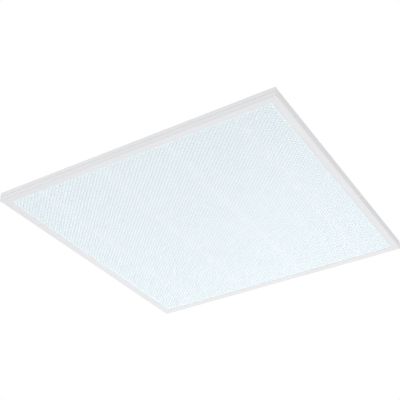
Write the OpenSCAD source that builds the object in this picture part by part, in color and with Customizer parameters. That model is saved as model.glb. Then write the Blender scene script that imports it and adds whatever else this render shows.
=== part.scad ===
// Square recessed LED panel light with a prismatic diffuser, lying as it hangs in a ceiling.
// The luminous face looks down. +Z points up into the ceiling void, and the origin is the
// middle of the plane on which the frame's lip rests. All lengths are in millimetres.

/* [Panel] */
// Outside length of the frame along X
panel_x = 595; // [570:1:620]
// Outside length of the frame along Y
panel_y = 595; // [570:1:620]
// Height of the frame's outer wall
rail_h = 19; // [18.5:0.5:24]

/* [Frame rails] */
// Width of the lip that shows round the diffuser
lip_w = 15; // [14:0.5:15.5]
// Thickness of the lip
lip_t = 1.4; // [1:0.1:1.8]
// Thickness of the outer wall
wall_t = 1.8; // [1.5:0.1:2.2]
// Inner edge of the shelf that carries the tray, from the outer face
shelf_w = 13; // [12:0.5:14]
// Height of the shelf's upper face above the lip's underside
shelf_z = 10.2; // [9.6:0.1:10.6]
// Thickness of the shelf
shelf_t = 1.2; // [1:0.1:1.6]
// Height of the upper edge of the shallow groove along the outside
groove_z = 10.6; // [7:0.1:12]
// Depth of the groove in its middle
groove_d = 0.5; // [0.3:0.1:1.3]
// Height of the groove
groove_h = 2.2; // [1:0.1:3]
// Small chamfer along the lip's outer bottom edge
edge_c = 0.5; // [0.2:0.1:0.8]
// Gap left at each mitre face
mitre_gap = 0.05; // [0.02:0.01:0.2]

/* [Corner keys] */
// Length of a corner key's leg
key_l = 45; // [36:1:56]
// Width of a corner key's leg
key_w = 10; // [9:0.5:11]
// Thickness of a corner key
key_t = 4.4; // [3.4:0.1:4.8]
// Gap between a corner key and the outer wall
key_gap = 0.6; // [0.3:0.1:1]

/* [Back tray] */
// Sheet thickness of the tray
tray_t = 0.6; // [0.5:0.1:0.8]
// Gap between the tray's flange and the outer wall
tray_gap = 0.6; // [0.3:0.1:1]
// Distance from the outer face to the foot of the tray's slope
pan_u = 16; // [15.5:0.5:17]
// Run of the tray's slope, seen from above
pan_run = 8.2; // [7:0.1:9]
// Height of the tray's outer back face
back_z = 18.4; // [18:0.1:19]
// Distance from the outer face to the ends of the long stiffening beads
bead_in = 67.5; // [50:0.5:140]
// Width of a stiffening bead
bead_w = 12; // [8:0.5:14]
// Height of a stiffening bead
bead_h = 1.5; // [1:0.1:2]
// Distance from the outer face to the middle of the outer beads
bead_side = 49.5; // [46:0.5:52]

/* [Screws and fixing holes] */
// Shank radius of the tray screws
screw_r = 1.6; // [1.4:0.05:1.7]
// Head radius of the tray screws
screw_head_r = 3.3; // [2.8:0.1:3.6]
// Head height of the tray screws
screw_head_h = 1.8; // [1.4:0.1:2.2]
// Shank length of the tray screws
screw_l = 6; // [5:0.5:6.5]
// Distance of the outer tray screws from the frame's corners
screw_in = 107.5; // [95:0.5:112]
// Distance of the corner screws from the frame's corners
corner_screw = 24; // [18:1:30]
// Radius of the fixing holes for a hanging or surface kit
fix_hole_r = 1.7; // [1.5:0.1:2]
// Distance between the two fixing holes of one rail
fix_span = 230; // [210:1:244]

/* [Diffuser and reflector] */
// Thickness of the diffuser plate over its prisms
diffuser_t = 1.5; // [1.2:0.1:2]
// Room for the diffuser to grow, at each edge
diffuser_gap = 0.7; // [0.4:0.1:1.2]
// Thickness of the reflector film
film_t = 0.4; // [0.3:0.1:0.6]
// Distance from the outer face to the film's lower edge
film_low_u = 15.8; // [15.7:0.1:17]
// Distance from the outer face to the film's upper bend
film_top_u = 30; // [28.5:0.5:31]
// Gap between the film's lower edge and the diffuser
film_gap = 0.3; // [0.1:0.1:0.6]
// Gap between a foam pad's ends and the middles of the screws beside it
pad_end = 12.5; // [8:0.5:20]
// Width of a foam pad
pad_w = 8; // [6:0.5:8.5]

/* [Light strips] */
// Distance from the outer face to the middle of the outer light strips
strip_side = 86; // [82:0.5:90]
// Distance from the outer face to a light strip's end
strip_in = 32.5; // [30:0.5:38]
// Width of a light strip
strip_w = 12; // [11:0.5:14]
// Thickness of a light strip's board
strip_t = 1; // [0.8:0.1:1.2]
// Number of light chips on a strip
chip_count = 24; // [12:2:24]
// Gap between the last light chip and the strip's wire connector
chip_gap = 1.75; // [0.5:0.25:6]
// Length of a light chip
chip_l = 3.5; // [2.8:0.1:5]
// Width of a light chip
chip_w = 2.8; // [2:0.1:5]
// Height of a light chip
chip_h = 0.8; // [0.6:0.1:1]
// Shank radius of the strip rivets
rivet_r = 1.6; // [1.2:0.1:1.8]
// Head radius of the strip rivets
rivet_head_r = 3; // [2.4:0.1:3.4]
// Diameter of a link wire
wire_d = 1.6; // [1.2:0.1:1.8]
// Length of a strip's wire connector
conn_l = 8; // [7:0.5:8.5]
// Width of a strip's wire connector
conn_w = 7; // [6:0.5:8]
// Height of a strip's wire connector
conn_h = 3; // [2.6:0.1:3.4]

/* [Leads] */
// Diameter of the low-voltage lead
lead_d = 4.4; // [3.6:0.1:4.8]
// Height of the lead and its connectors above the tray
lead_lift = 4.1; // [4.1:0.1:5]
// Distance from the outer face to the middle of the grommet
grommet_in = 32.5; // [32.5:0.5:34.5]
// Radius of the grommet's hole in the tray
grommet_r = 4; // [3.6:0.1:4.4]

/* [Driver case] */
// Length of the driver case
case_l = 176; // [172:1:190]
// Width of the driver case
case_w = 46; // [46:0.5:54]
// Height of the case's lower shell
base_h = 13.6; // [13.4:0.1:15]
// Height of the whole driver case
case_h = 26; // [26:0.5:32]
// Wall of the driver case
case_t = 1.8; // [1.5:0.1:2]
// Length of the wiring compartment
bay_l = 34; // [34:0.5:38]
// Radius of the mains cable inlet
inlet_r = 4.6; // [3.5:0.1:4.6]
// Height of the mains cable inlet above the tray
inlet_h = 7.2; // [7:0.1:7.8]
// Thickness of the circuit board
board_t = 1.6; // [1:0.1:1.6]
// Height of the circuit board's underside above the tray
board_h = 4.2; // [3.6:0.1:4.2]

/* [Terminal and cover] */
// Distance between the two poles of the terminal
pole_pitch = 8; // [7:0.5:9]
// Travel of a release button
button_travel = 1.5; // [1:0.1:1.6]
// Radius of the cover's hinge pin
pin_r = 1.5; // [1.2:0.1:1.6]
// Radial clearance of the hinge pins
pin_play = 0.05; // [0.03:0.01:0.1]
// Radius of the cover's hinge barrel
barrel_r = 2.8; // [2.6:0.1:3]

/* [Hanging rings] */
// Distance from the outer face to the ring hinges along X
ring_in = 65.5; // [62.5:0.5:72.5]
// Distance of the rings from the outer strips, towards the middle
ring_back = 35.5; // [32:0.5:39]
// Wire radius of a hanging ring
ring_r = 1.25; // [1:0.05:1.5]
// Outside width of a hanging ring
ring_w = 26; // [24:1:30]
// Length of a hanging ring's straight arms
ring_arm = 10; // [6:1:12]
// Width of the sheet keeper round the ring
keeper_w = 12; // [10:0.5:14]
// Sheet thickness of the keeper
keeper_t = 0.8; // [0.6:0.1:1]

/* [Hidden] */
$fn = 48;
eps = 0.01;

// Colours of the finishes
white_paint = [0.93, 0.93, 0.94];
pale_diffuser = [0.87, 0.93, 0.95];
zinc = [0.72, 0.74, 0.76];
copper = [0.72, 0.45, 0.2];
black_plastic = [0.08, 0.08, 0.09];
case_white = [0.9, 0.9, 0.88];

// Frame heights and lines
shelf_low = shelf_z - shelf_t;
screw_u = (wall_t + shelf_w) / 2;
screw_play = 0.1;
diffuser_z = lip_t;
diffuser_top = diffuser_z + diffuser_t;
flange_u = wall_t + tray_gap;
plate_low = back_z - tray_t;
slope = pan_run / (back_z - shelf_z);
slope_wall = tray_t * sqrt(1 + slope * slope);

// Beads: the inner two midway between two strips, the outer two beside the outer strips
strip_pitch = (panel_y - 2 * strip_side) / 3;
bead_l = panel_x - 2 * bead_in;
bead_ys = [
    -panel_y / 2 + bead_side, -strip_pitch, strip_pitch, panel_y / 2 - bead_side
];

// Strip places, with the rivets midway between two chips
strip_l = panel_x - 2 * strip_in;
strip_ys = [for (i = [0:3]) (i - 1.5) * strip_pitch];
strip_low = plate_low - strip_t;
conn_inset = 0.5;
conn_x = strip_l / 2 - conn_inset - conn_l;
chip_pitch = (2 * (conn_x - chip_gap) - chip_l) / (chip_count - 1);
rivet_pitch = chip_pitch * floor((chip_count + 1) / 5);
rivet_xs = [for (i = [-2:2]) i * rivet_pitch];
wire_bore_depth = 3;
wire_play = 0.1;
wire_z = strip_low - conn_h / 2;
wire_end_gap = 0.4;
film_low = diffuser_top + film_gap;
film_slope = (film_top_u - film_low_u) / (plate_low - film_low);
high_lane = 14.6;
low_lane = 11.4;
wire_bend = 3;

// The grommet and the two lengths of lead
grommet_x = -panel_x / 2 + grommet_in;
grommet_flange = 2;
grommet_play = 0.05;
sheath_end = plate_low - 1.4;
lead_z = back_z + lead_lift;
lead_exit_z = back_z + 8.6;
lead_hump_z = back_z + 9.6;
case_x0 = -case_l / 2;
case_x1 = case_l / 2;
lead_out = 10;
plug_out = 38;
plug_run = 16;
hump_out = 14;
hump_run = 29;
plug_x = case_x0 - plug_out;
plug_l = 18;
socket_l = 18;
plug_w = 12;
plug_h = 8;
plug_wall = 1.6;
plug_play = 0.15;
nose_l = 5.6;
nose_room = 0.4;
lead_grip = 4;
latch_w = 4;
latch_t = 0.9;
latch_root = [2, 3.4];
latch_hook = 1.6;
latch_gap = 0.15;
bar_x = 5;
bar_l = 4;
bar_h = 1.2;
lead_inside = 8;
driver_lead_path = [
    [case_x0 + lead_inside, 0, lead_exit_z], [case_x0 - lead_out, 0, lead_exit_z],
    [plug_x + plug_run, 0, lead_z], [plug_x - lead_grip, 0, lead_z]
];
panel_lead_path = [
    [plug_x - plug_l - socket_l + lead_grip, 0, lead_z], [grommet_x + hump_run, 0, lead_z],
    [grommet_x + hump_out, 0, lead_hump_z], [grommet_x, 0, lead_hump_z], [grommet_x, 0, sheath_end]
];
lead_bend = 8;
clip_out = 10;
clip_xs = [plug_x + clip_out, (plug_x - plug_l - socket_l + grommet_x + hump_run) / 2];

// Driver case lines
case_floor = back_z + case_t;
case_join = back_z + base_h;
case_top = back_z + case_h;
bay_x = case_x1 - bay_l;
board_z = back_z + board_h;
board_top = board_z + board_t;
inner_y = case_w / 2 - case_t;
board_in = 4;
board_out = 18;
board_x0 = case_x0 + board_in;
board_x1 = bay_x + board_out;
board_y = inner_y - 1.2;
post_r = 3;
post_step = 1;
post_floor = 1;
post_play = 0.3;
post_in = 8;
post_xs = [case_x0 + post_in, bay_x - post_in];
post_y = inner_y - post_r - 0.9;
case_screw_r = 1.3;
case_screw_head = 2.6;
screw_sink = 2.2;
ear_r = 6;
ear_t = 2.4;
ear_out = 6;
stud_r = 1.95;
stud_h = 8;
ear_x0 = 14;
ear_x1 = 8;
ear_places = [[case_x0 + ear_x0, case_w / 2 + ear_out], [bay_x + ear_x1, -case_w / 2 - ear_out]];
nut_af = 7;
nut_h = 3.2;
core_z = 10;
core_side = 3.5;
core_leg_y = 8;
core_window_x = 18;
core_l = core_window_x + 2 * core_side;
core_window_y = 5;
wind_wrap = 3.2;
bulk_r = 8;
can_h = 16;
output_r = 6.3;
filter_size = [18, 9, 14];
choke_ring = 5.4;
choke_wire = 2.8;
sink_size = [30, 1.6, 15];
sink_fold = 6;
package_size = [10, 4.5, 9];
package_x = 10;
pin_pitch = 2.8;

// The board's parts stand in a row between the posts, with equal gaps
row_x0 = post_xs[0] + post_r + post_step;
row_x1 = post_xs[1] - post_r - post_step;
row_gap = (row_x1 - row_x0 - 2 * output_r - sink_size[0] - core_l - filter_size[0]) / 5;
output_at = [row_x0 + row_gap + output_r, 8];
sink_at = [output_at[0] + output_r + row_gap, 12];
choke_at = [sink_at[0] + choke_ring + choke_wire, -8];
core_x = sink_at[0] + sink_size[0] + row_gap + core_l / 2;
filter_at = [core_x + core_l / 2 + row_gap, -18];
bulk_at = [filter_at[0] + filter_size[0] / 2, 9];

// Terminal, its cover and the cable clamp
axis_x = bay_x + barrel_r + 0.5;
axis_z = case_top - barrel_r;
cover_gap = 0.2;
ear_in = 15;
ear_w = 2.9;
side_play = 0.3;
lug_r = barrel_r - 0.3;
term_x0 = bay_x + 2.5;
term_wall = 1.2;
term_l = 14;
term_rest_r = 2;
term_rest_xs = [term_x0 + term_rest_r, term_x0 + term_l - term_rest_r];
term_h = 10.8;
term_w = 2 * pole_pitch + 2;
term_top = board_top + term_h;
pole_ys = [-pole_pitch / 2, pole_pitch / 2];
button_x = term_x0 + 4.2;
button_l = 3.6;
button_w = 4.4;
button_play = 0.15;
button_stand = button_travel + 0.1;
leaf_z = board_top + 1;
leaf_h = 3.1;
leaf_gap = 0.1;
button_low = leaf_z + leaf_h + button_travel + leaf_gap;
entry_w = 4.8;
clamp_in = 10;
clamp_x = case_x1 - clamp_in;
clamp_w = 6;
clamp_y = 9.5;
clamp_post_r = 2.8;
inlet_z = back_z + inlet_h;
clamp_low = inlet_z + 3.2;
clamp_screw_l = 8;
clamp_screw_head = [2.5, 1.5];
clamp_bar_h = 3.2;
clamp_screw_r = 1.1;

// Hanging rings
ring_play = 0.06;
ring_bore = ring_r + ring_play;
knuckle_r = ring_bore + keeper_t;
ring_z = back_z + knuckle_r + 0.02;
ring_x = panel_x / 2 - ring_in;
ring_y = panel_y / 2 - strip_side - ring_back;
ring_places = [[-ring_x, -ring_y, 0], [ring_x, -ring_y, 180], [ring_x, ring_y, 180], [-ring_x, ring_y, 0]];
keeper_l = 13;
keeper_rivet_x = 8.5;
keeper_rivet_r = 1.6;

// Along-rail places of the screws, and each rail's length and turn
function rail_len(i) = i % 2 == 0 ? panel_x : panel_y;
function rail_depth(i) = i % 2 == 0 ? panel_y : panel_x;
function screw_t(len) = len / 2 - screw_in;
function screw_ts(len) = [
    -len / 2 + corner_screw, -screw_t(len), 0, screw_t(len), len / 2 - corner_screw
];

// Length of the foam pads of a rail, and their places between its screws and fixing holes
function pad_l(len) = screw_t(len) - fix_span / 2 - 2 * pad_end;
function pad_ts(len) = let (a = fix_span / 4, b = (fix_span / 2 + screw_t(len)) / 2) [-b, -a, a, b];

// Point list of a path whose corners are rounded to radius r with n steps each
function unit(v) = v / norm(v);
function corner_arc(p, a, b, r, n) =
    let (
        u = unit(a - p),
        v = unit(b - p),
        half = acos(max(-1, min(1, u * v))) / 2,
        reach = r / tan(half),
        mid = unit(u + v),
        c = p + mid * (r / sin(half)),
        from = p + u * reach - c,
        to = p + v * reach - c,
        sweep = acos(max(-1, min(1, unit(from) * unit(to))))
    )
    [for (k = [0:n]) let (t = k / n)
        c + (sin((1 - t) * sweep) * from + sin(t * sweep) * to) / sin(sweep)];
function rounded(path, r, n) = [
    path[0],
    for (i = [1:len(path) - 2]) each corner_arc(path[i], path[i - 1], path[i + 1], r, n),
    path[len(path) - 1]
];

// Side vectors of a tube's rings, each carried on from the one before
function tangent(p, i) = unit(p[min(i + 1, len(p) - 1)] - p[max(i - 1, 0)]);
function square_to(v, t) = unit(v - t * (v * t));
function sides_of(p, i, v, out) =
    i == len(p) ? out : let (s = square_to(v, tangent(p, i))) sides_of(p, i + 1, s, concat(out, [s]));
function start_side(t) = abs(t[2]) < 0.9 ? square_to([0, 0, 1], t) : square_to([0, 1, 0], t);

// Round tube of diameter d along the points p
module tube(p, d, n) {
    side = sides_of(p, 0, start_side(tangent(p, 0)), []);
    pts = [
        for (i = [0:len(p) - 1], k = [0:n - 1])
            let (a = 360 * k / n, s = side[i], w = cross(tangent(p, i), s))
            p[i] + (s * cos(a) + w * sin(a)) * d / 2
    ];
    last = (len(p) - 1) * n;
    walls = [
        for (i = [0:len(p) - 2], k = [0:n - 1])
            let (a = i * n + k, b = i * n + (k + 1) % n)
            each [[a, a + n, b + n], [a, b + n, b]]
    ];
    ends = [[for (k = [0:n - 1]) k], [for (k = [n - 1:-1:0]) last + k]];
    polyhedron(pts, concat(walls, ends));
}

// Turns what is drawn for the front rail to rail i, counted round from the front
module on_rail(i) {
    rotate(90 * i) translate([0, -rail_depth(i) / 2, 0]) children();
}

// One length of frame rail with mitred ends
module rail(i) {
    length = rail_len(i);
    reach = lip_w + 1;
    color(white_paint) on_rail(i) difference() {
        intersection() {
            translate([-length / 2, 0, 0]) rotate([90, 0, 90]) linear_extrude(length) rail_outline();
            translate([0, 0, -1]) linear_extrude(rail_h + 2) polygon([
                [-length / 2 + mitre_gap, 0], [length / 2 - mitre_gap, 0],
                [length / 2 - mitre_gap - reach, reach], [-length / 2 + mitre_gap + reach, reach]
            ]);
        }
        for (t = screw_ts(length))
            translate([t, screw_u, shelf_low - eps])
                cylinder(r = screw_r + screw_play, h = shelf_t + 2 * eps);
        if (i % 2 == 0) fixing_holes(shelf_low, shelf_t);
    }
}

// Cross-section of a rail: u inwards from the outer face, then height
module rail_outline() {
    polygon([
        [edge_c, 0], [lip_w, 0], [lip_w, lip_t], [wall_t, lip_t],
        [wall_t, shelf_low], [shelf_w, shelf_low], [shelf_w, shelf_z], [wall_t, shelf_z],
        [wall_t, rail_h], [0, rail_h],
        [0, groove_z], [groove_d, groove_z - groove_h / 2], [0, groove_z - groove_h], [0, edge_c]
    ]);
}

// The two fixing holes of a front or back rail, cut through a sheet
module fixing_holes(low, thick) {
    for (s = [-1, 1])
        translate([s * fix_span / 2, screw_u, low - eps]) cylinder(r = fix_hole_r, h = thick + 2 * eps);
}

module rail_front() { rail(0); }
module rail_right() { rail(1); }
module rail_back() { rail(2); }
module rail_left() { rail(3); }

// Cast corner key that joins two rails under their shelves
module corner_key(sx, sy) {
    u = wall_t + key_gap;
    color(zinc) translate([sx * (panel_x / 2 - u), sy * (panel_y / 2 - u), shelf_low - key_t])
        scale([-sx, -sy, 1]) difference() {
            union() {
                cube([key_l, key_w, key_t]);
                cube([key_w, key_l, key_t]);
            }
            for (p = [[corner_screw - u, screw_u - u], [screw_u - u, corner_screw - u]])
                translate([p[0], p[1], -eps]) cylinder(r = screw_r + screw_play, h = key_t + 2 * eps);
        }
}

module corner_key_1() { corner_key(-1, -1); }
module corner_key_2() { corner_key(1, -1); }
module corner_key_3() { corner_key(1, 1); }
module corner_key_4() { corner_key(-1, 1); }

// Four-sided frustum with half sides a and b at height z0, both less by inset at height z1
module frustum(a, b, z0, z1, inset) {
    intersection() {
        rotate([90, 0, 0]) linear_extrude(2 * b, center = true)
            polygon([[-a, z0], [a, z0], [a - inset, z1], [-a + inset, z1]]);
        rotate([90, 0, 90]) linear_extrude(2 * a, center = true)
            polygon([[-b, z0], [b, z0], [b - inset, z1], [-b + inset, z1]]);
    }
}

// Round-ended bar of length l and width w lying along X on z = 0
module round_bar(l, w, h) {
    translate([-(l - w) / 2, -w / 2, 0]) cube([l - w, w, h]);
    for (s = [-1, 1]) translate([s * (l - w) / 2, 0, 0]) cylinder(r = w / 2, h = h);
}

// Pressed steel tray: flange on the shelves, sloped sides, flat back with stiffening beads
module tray() {
    a = panel_x / 2 - pan_u;
    b = panel_y / 2 - pan_u;
    color(zinc) difference() {
        union() {
            translate([-panel_x / 2 + flange_u, -panel_y / 2 + flange_u, shelf_z])
                cube([panel_x - 2 * flange_u, panel_y - 2 * flange_u, tray_t]);
            frustum(a, b, shelf_z, back_z, pan_run);
            for (y = bead_ys) translate([0, y, plate_low]) round_bar(bead_l, bead_w, tray_t + bead_h);
        }
        frustum(a - slope_wall + slope, b - slope_wall + slope, shelf_z - 1, plate_low,
            slope * (plate_low - shelf_z + 1));
        for (y = bead_ys) translate([0, y, plate_low - eps])
            round_bar(bead_l - 2 * tray_t, bead_w - 2 * tray_t, bead_h + eps);
        for (y = strip_ys, x = rivet_xs)
            translate([x, y, plate_low - eps]) cylinder(r = rivet_r + screw_play, h = tray_t + 2 * eps);
        translate([grommet_x, 0, plate_low - eps]) cylinder(r = grommet_r, h = tray_t + 2 * eps);
        for (i = [0:3]) on_rail(i) {
            for (t = screw_ts(rail_len(i)))
                translate([t, screw_u, shelf_z - eps])
                    cylinder(r = screw_r + screw_play, h = tray_t + 2 * eps);
            if (i % 2 == 0) fixing_holes(shelf_z, tray_t);
        }
        for (p = [for (q = ring_places) keeper_rivet_place(q)])
            translate([p[0], p[1], plate_low - eps])
                cylinder(r = keeper_rivet_r + screw_play, h = tray_t + 2 * eps);
    }
}

// Studs welded to the tray's back, for the ears of the driver case
module tray_studs() {
    tip = 0.5;
    color(zinc) for (p = ear_places) translate([p[0], p[1], back_z]) {
        cylinder(r = stud_r, h = stud_h - tip);
        translate([0, 0, stud_h - tip - eps]) cylinder(r1 = stud_r, r2 = stud_r - tip, h = tip + eps);
    }
}

// Cross-head screws that clamp the tray to the shelves and, at the corners, to the keys
module tray_screws() {
    top = shelf_z + tray_t;
    color(zinc) for (i = [0:3]) on_rail(i) for (t = screw_ts(rail_len(i)))
        translate([t, screw_u, top]) cross_screw(screw_r, screw_l, screw_head_r, screw_head_h);
}

// Screw with its head above z = 0 and its shank below
module cross_screw(r, l, head_r, head_h) {
    slot = head_r * 0.28;
    rim_h = head_h * 0.6;
    slot_l = head_r * 1.1;
    difference() {
        union() {
            cylinder(r = head_r, h = rim_h);
            translate([0, 0, rim_h - eps])
                cylinder(r1 = head_r, r2 = head_r * 0.7, h = head_h - rim_h + eps);
            translate([0, 0, -l]) cylinder(r = r, h = l + eps);
        }
        for (a = [0, 90]) rotate(a) translate([-slot_l / 2, -slot / 2, head_h * 0.45])
            cube([slot_l, slot, head_h]);
    }
}

// White film that lines the light chamber, open where the strips lie
module reflector_film() {
    a = panel_x / 2 - film_low_u;
    b = panel_y / 2 - film_low_u;
    run = film_top_u - film_low_u;
    wall = film_t * sqrt(1 + film_slope * film_slope);
    strip_play = 0.5;
    relief = 1.6;
    slot_z = low_lane - wire_d - 1;
    slot_in = 2;
    color([0.97, 0.97, 0.97]) difference() {
        frustum(a, b, film_low, plate_low, run);
        frustum(a - wall + film_slope, b - wall + film_slope, film_low - 1, plate_low - film_t,
            film_slope * (plate_low - film_t - film_low + 1));
        for (y = strip_ys) translate([-a + slot_in, y - strip_w / 2 - strip_play, slot_z])
            cube([2 * (a - slot_in), strip_w + 2 * strip_play, plate_low]);
        translate([grommet_x, 0, slot_z]) cylinder(r = grommet_r + grommet_flange + relief, h = plate_low);
        for (q = ring_places) let (p = keeper_rivet_place(q))
            translate([p[0], p[1], low_lane]) cylinder(r = keeper_rivet_r + relief, h = plate_low);
    }
}

// Clear sheet with small prisms on its lower face, drawn over its full thickness
module diffuser() {
    u = wall_t + diffuser_gap;
    color(pale_diffuser) translate([-panel_x / 2 + u, -panel_y / 2 + u, diffuser_z])
        cube([panel_x - 2 * u, panel_y - 2 * u, diffuser_t]);
}

// Foam pads that press the diffuser's edge down on the lip
module foam_pads() {
    color([0.85, 0.85, 0.83]) for (i = [0:3]) let (length = pad_l(rail_len(i)))
        on_rail(i) for (t = pad_ts(rail_len(i)))
            translate([t - length / 2, screw_u - pad_w / 2, diffuser_top])
                cube([length, pad_w, shelf_low - diffuser_top]);
}

// White aluminium strip board, riveted to the tray
module led_strip(k) {
    color([0.95, 0.95, 0.93]) translate([0, strip_ys[k - 1], strip_low]) difference() {
        translate([-strip_l / 2, -strip_w / 2, 0]) cube([strip_l, strip_w, strip_t]);
        for (x = rivet_xs) translate([x, 0, -eps]) cylinder(r = rivet_r + screw_play, h = strip_t + 2 * eps);
    }
}

module led_strip_1() { led_strip(1); }
module led_strip_2() { led_strip(2); }
module led_strip_3() { led_strip(3); }
module led_strip_4() { led_strip(4); }

// Light chips, soldered along each strip
module led_chips() {
    color([0.98, 0.9, 0.55]) for (y = strip_ys, i = [0:chip_count - 1])
        translate([(i - (chip_count - 1) / 2) * chip_pitch - chip_l / 2, y - chip_w / 2, strip_low - chip_h])
            cube([chip_l, chip_w, chip_h]);
}

// Blind rivets through strip and tray
module strip_rivets() {
    head_h = 0.8;
    tail_h = 1.6;
    tail_out = 0.9;
    color(zinc) for (y = strip_ys, x = rivet_xs) translate([x, y, 0]) {
        translate([0, 0, strip_low - head_h]) cylinder(r = rivet_head_r, h = head_h);
        translate([0, 0, strip_low - eps]) cylinder(r = rivet_r, h = strip_t + tray_t + 2 * eps);
        translate([0, 0, back_z]) cylinder(r = rivet_r + tail_out, h = tail_h);
    }
}

// Small wire connectors at both ends of each strip
module strip_connectors() {
    color(case_white) for (y = strip_ys, s = [-1, 1]) translate([0, y, 0]) scale([s, 1, 1]) difference() {
        translate([conn_x, -conn_w / 2, strip_low - conn_h]) cube([conn_l, conn_w, conn_h]);
        translate([conn_x + conn_l - wire_bore_depth, 0, wire_z]) rotate([0, 90, 0])
            cylinder(r = wire_d / 2 + wire_play, h = wire_bore_depth + eps);
    }
}

// Distance from the outer face to the middle of the room behind the film at height z
function lane_u(z) =
    (film_low_u + (z - film_low) * film_slope + pan_u + slope_wall + (z - shelf_z) * slope) / 2;
function wire_start(s, y) = [s * (conn_x + conn_l - wire_bore_depth + wire_end_gap), y, wire_z];
function wire_mouth(s, y) = [s * (conn_x + conn_l + wire_d), y, wire_z];

// Wire that links strips k and k + 1 behind the film, on side s
module link_wire(k, s, lane) {
    x = s * (panel_x / 2 - lane_u(lane));
    path = [
        wire_start(s, strip_ys[k - 1]), wire_mouth(s, strip_ys[k - 1]), [x, strip_ys[k - 1], lane],
        [x, strip_ys[k], lane], wire_mouth(s, strip_ys[k]), wire_start(s, strip_ys[k])
    ];
    color([0.9, 0.9, 0.9]) tube(rounded(path, wire_bend, 5), wire_d, 8);
}

module link_wire_1() { link_wire(1, 1, high_lane); }
module link_wire_2() { link_wire(2, -1, low_lane); }
module link_wire_3() { link_wire(3, 1, high_lane); }

// Wire from the lead's end to an outer strip, on side s along Y
module feed_wire(s, shade) {
    x = -panel_x / 2 + lane_u(high_lane);
    k = s < 0 ? 0 : 3;
    y0 = s * 1.1;
    drop = sheath_end - 1.4;
    path = [
        [grommet_x, y0, sheath_end], [grommet_x, y0, drop], [x, y0, high_lane],
        [x, strip_ys[k], high_lane], wire_mouth(-1, strip_ys[k]), wire_start(-1, strip_ys[k])
    ];
    color(shade) tube(rounded(path, 1, 4), wire_d, 8);
}

module feed_wire_plus() { feed_wire(-1, [0.75, 0.1, 0.08]); }
module feed_wire_minus() { feed_wire(1, [0.1, 0.1, 0.1]); }

// Rubber grommet snapped into the tray
module lead_grommet() {
    lip = 1.2;
    under_r = grommet_r + grommet_flange - 0.6;
    color(black_plastic) translate([grommet_x, 0, 0]) rotate_extrude() polygon([
        [lead_d / 2 + grommet_play, plate_low - lip], [under_r, plate_low - lip], [under_r, plate_low],
        [grommet_r - grommet_play, plate_low],
        [grommet_r - grommet_play, back_z], [grommet_r + grommet_flange, back_z],
        [grommet_r + grommet_flange - 0.8, back_z + lip], [lead_d / 2 + grommet_play, back_z + lip]
    ]);
}

// Low-voltage lead from the connector into the tray
module panel_lead() {
    color([0.93, 0.93, 0.92]) tube(rounded(panel_lead_path, lead_bend, 6), lead_d, 12);
}

// Low-voltage lead from the driver to the connector
module driver_lead() {
    color([0.93, 0.93, 0.92]) tube(rounded(driver_lead_path, lead_bend, 5), lead_d, 12);
}

// Panel half of the connector, with a latch bar on top
module lead_socket() {
    x1 = plug_x - plug_l;
    color(case_white) difference() {
        union() {
            translate([x1 - socket_l, -plug_w / 2, lead_z - plug_h / 2]) cube([socket_l, plug_w, plug_h]);
            translate([x1 - bar_x - bar_l, -latch_w / 2 - 0.5, lead_z + plug_h / 2 - eps])
                cube([bar_l, latch_w + 1, bar_h]);
        }
        translate([x1 - nose_l - nose_room, -plug_w / 2 + plug_wall, lead_z - plug_h / 2 + plug_wall])
            cube([nose_l + nose_room + eps, plug_w - 2 * plug_wall, plug_h - 2 * plug_wall]);
        translate([x1 - socket_l - eps, 0, lead_z]) rotate([0, 90, 0])
            cylinder(r = lead_d / 2 + grommet_play, h = lead_grip + 2 * eps);
    }
}

// Driver half of the connector, its nose in the socket and its latch hooked behind the bar
module lead_plug() {
    x0 = plug_x - plug_l;
    top = lead_z + plug_h / 2;
    hook_x = x0 - bar_x - bar_l - latch_gap - latch_hook;
    inset = plug_wall + plug_play;
    color(case_white) difference() {
        union() {
            translate([x0, -plug_w / 2, lead_z - plug_h / 2]) cube([plug_l, plug_w, plug_h]);
            translate([x0 - nose_l, -plug_w / 2 + inset, lead_z - plug_h / 2 + inset])
                cube([nose_l + eps, plug_w - 2 * inset, plug_h - 2 * inset]);
            translate([hook_x, -latch_w / 2, top + bar_h + latch_gap])
                cube([x0 + latch_root[0] + latch_root[1] - hook_x, latch_w, latch_t]);
            translate([hook_x, -latch_w / 2, top + latch_gap]) cube([latch_hook, latch_w, bar_h + eps]);
            translate([x0 + latch_root[0], -latch_w / 2, top - eps])
                cube([latch_root[1], latch_w, bar_h + latch_gap + 2 * eps]);
        }
        translate([plug_x - lead_grip, 0, lead_z]) rotate([0, 90, 0])
            cylinder(r = lead_d / 2 + grommet_play, h = lead_grip + eps);
    }
}

// Glued saddles that hold the lead on the tray
module lead_clips() {
    clip_w = 8;
    clip_wall = 1.4;
    foot_w = 14;
    foot_h = 1.2;
    clip_h = lead_lift + lead_d / 2 + clip_wall;
    color(case_white) for (x = clip_xs) translate([x - clip_w / 2, 0, 0]) difference() {
        union() {
            translate([0, -lead_d / 2 - clip_wall, back_z]) cube([clip_w, lead_d + 2 * clip_wall, clip_h]);
            translate([0, -foot_w / 2, back_z]) cube([clip_w, foot_w, foot_h]);
        }
        translate([-eps, 0, lead_z]) rotate([0, 90, 0])
            cylinder(r = lead_d / 2 + grommet_play, h = clip_w + 2 * eps);
    }
}

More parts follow.
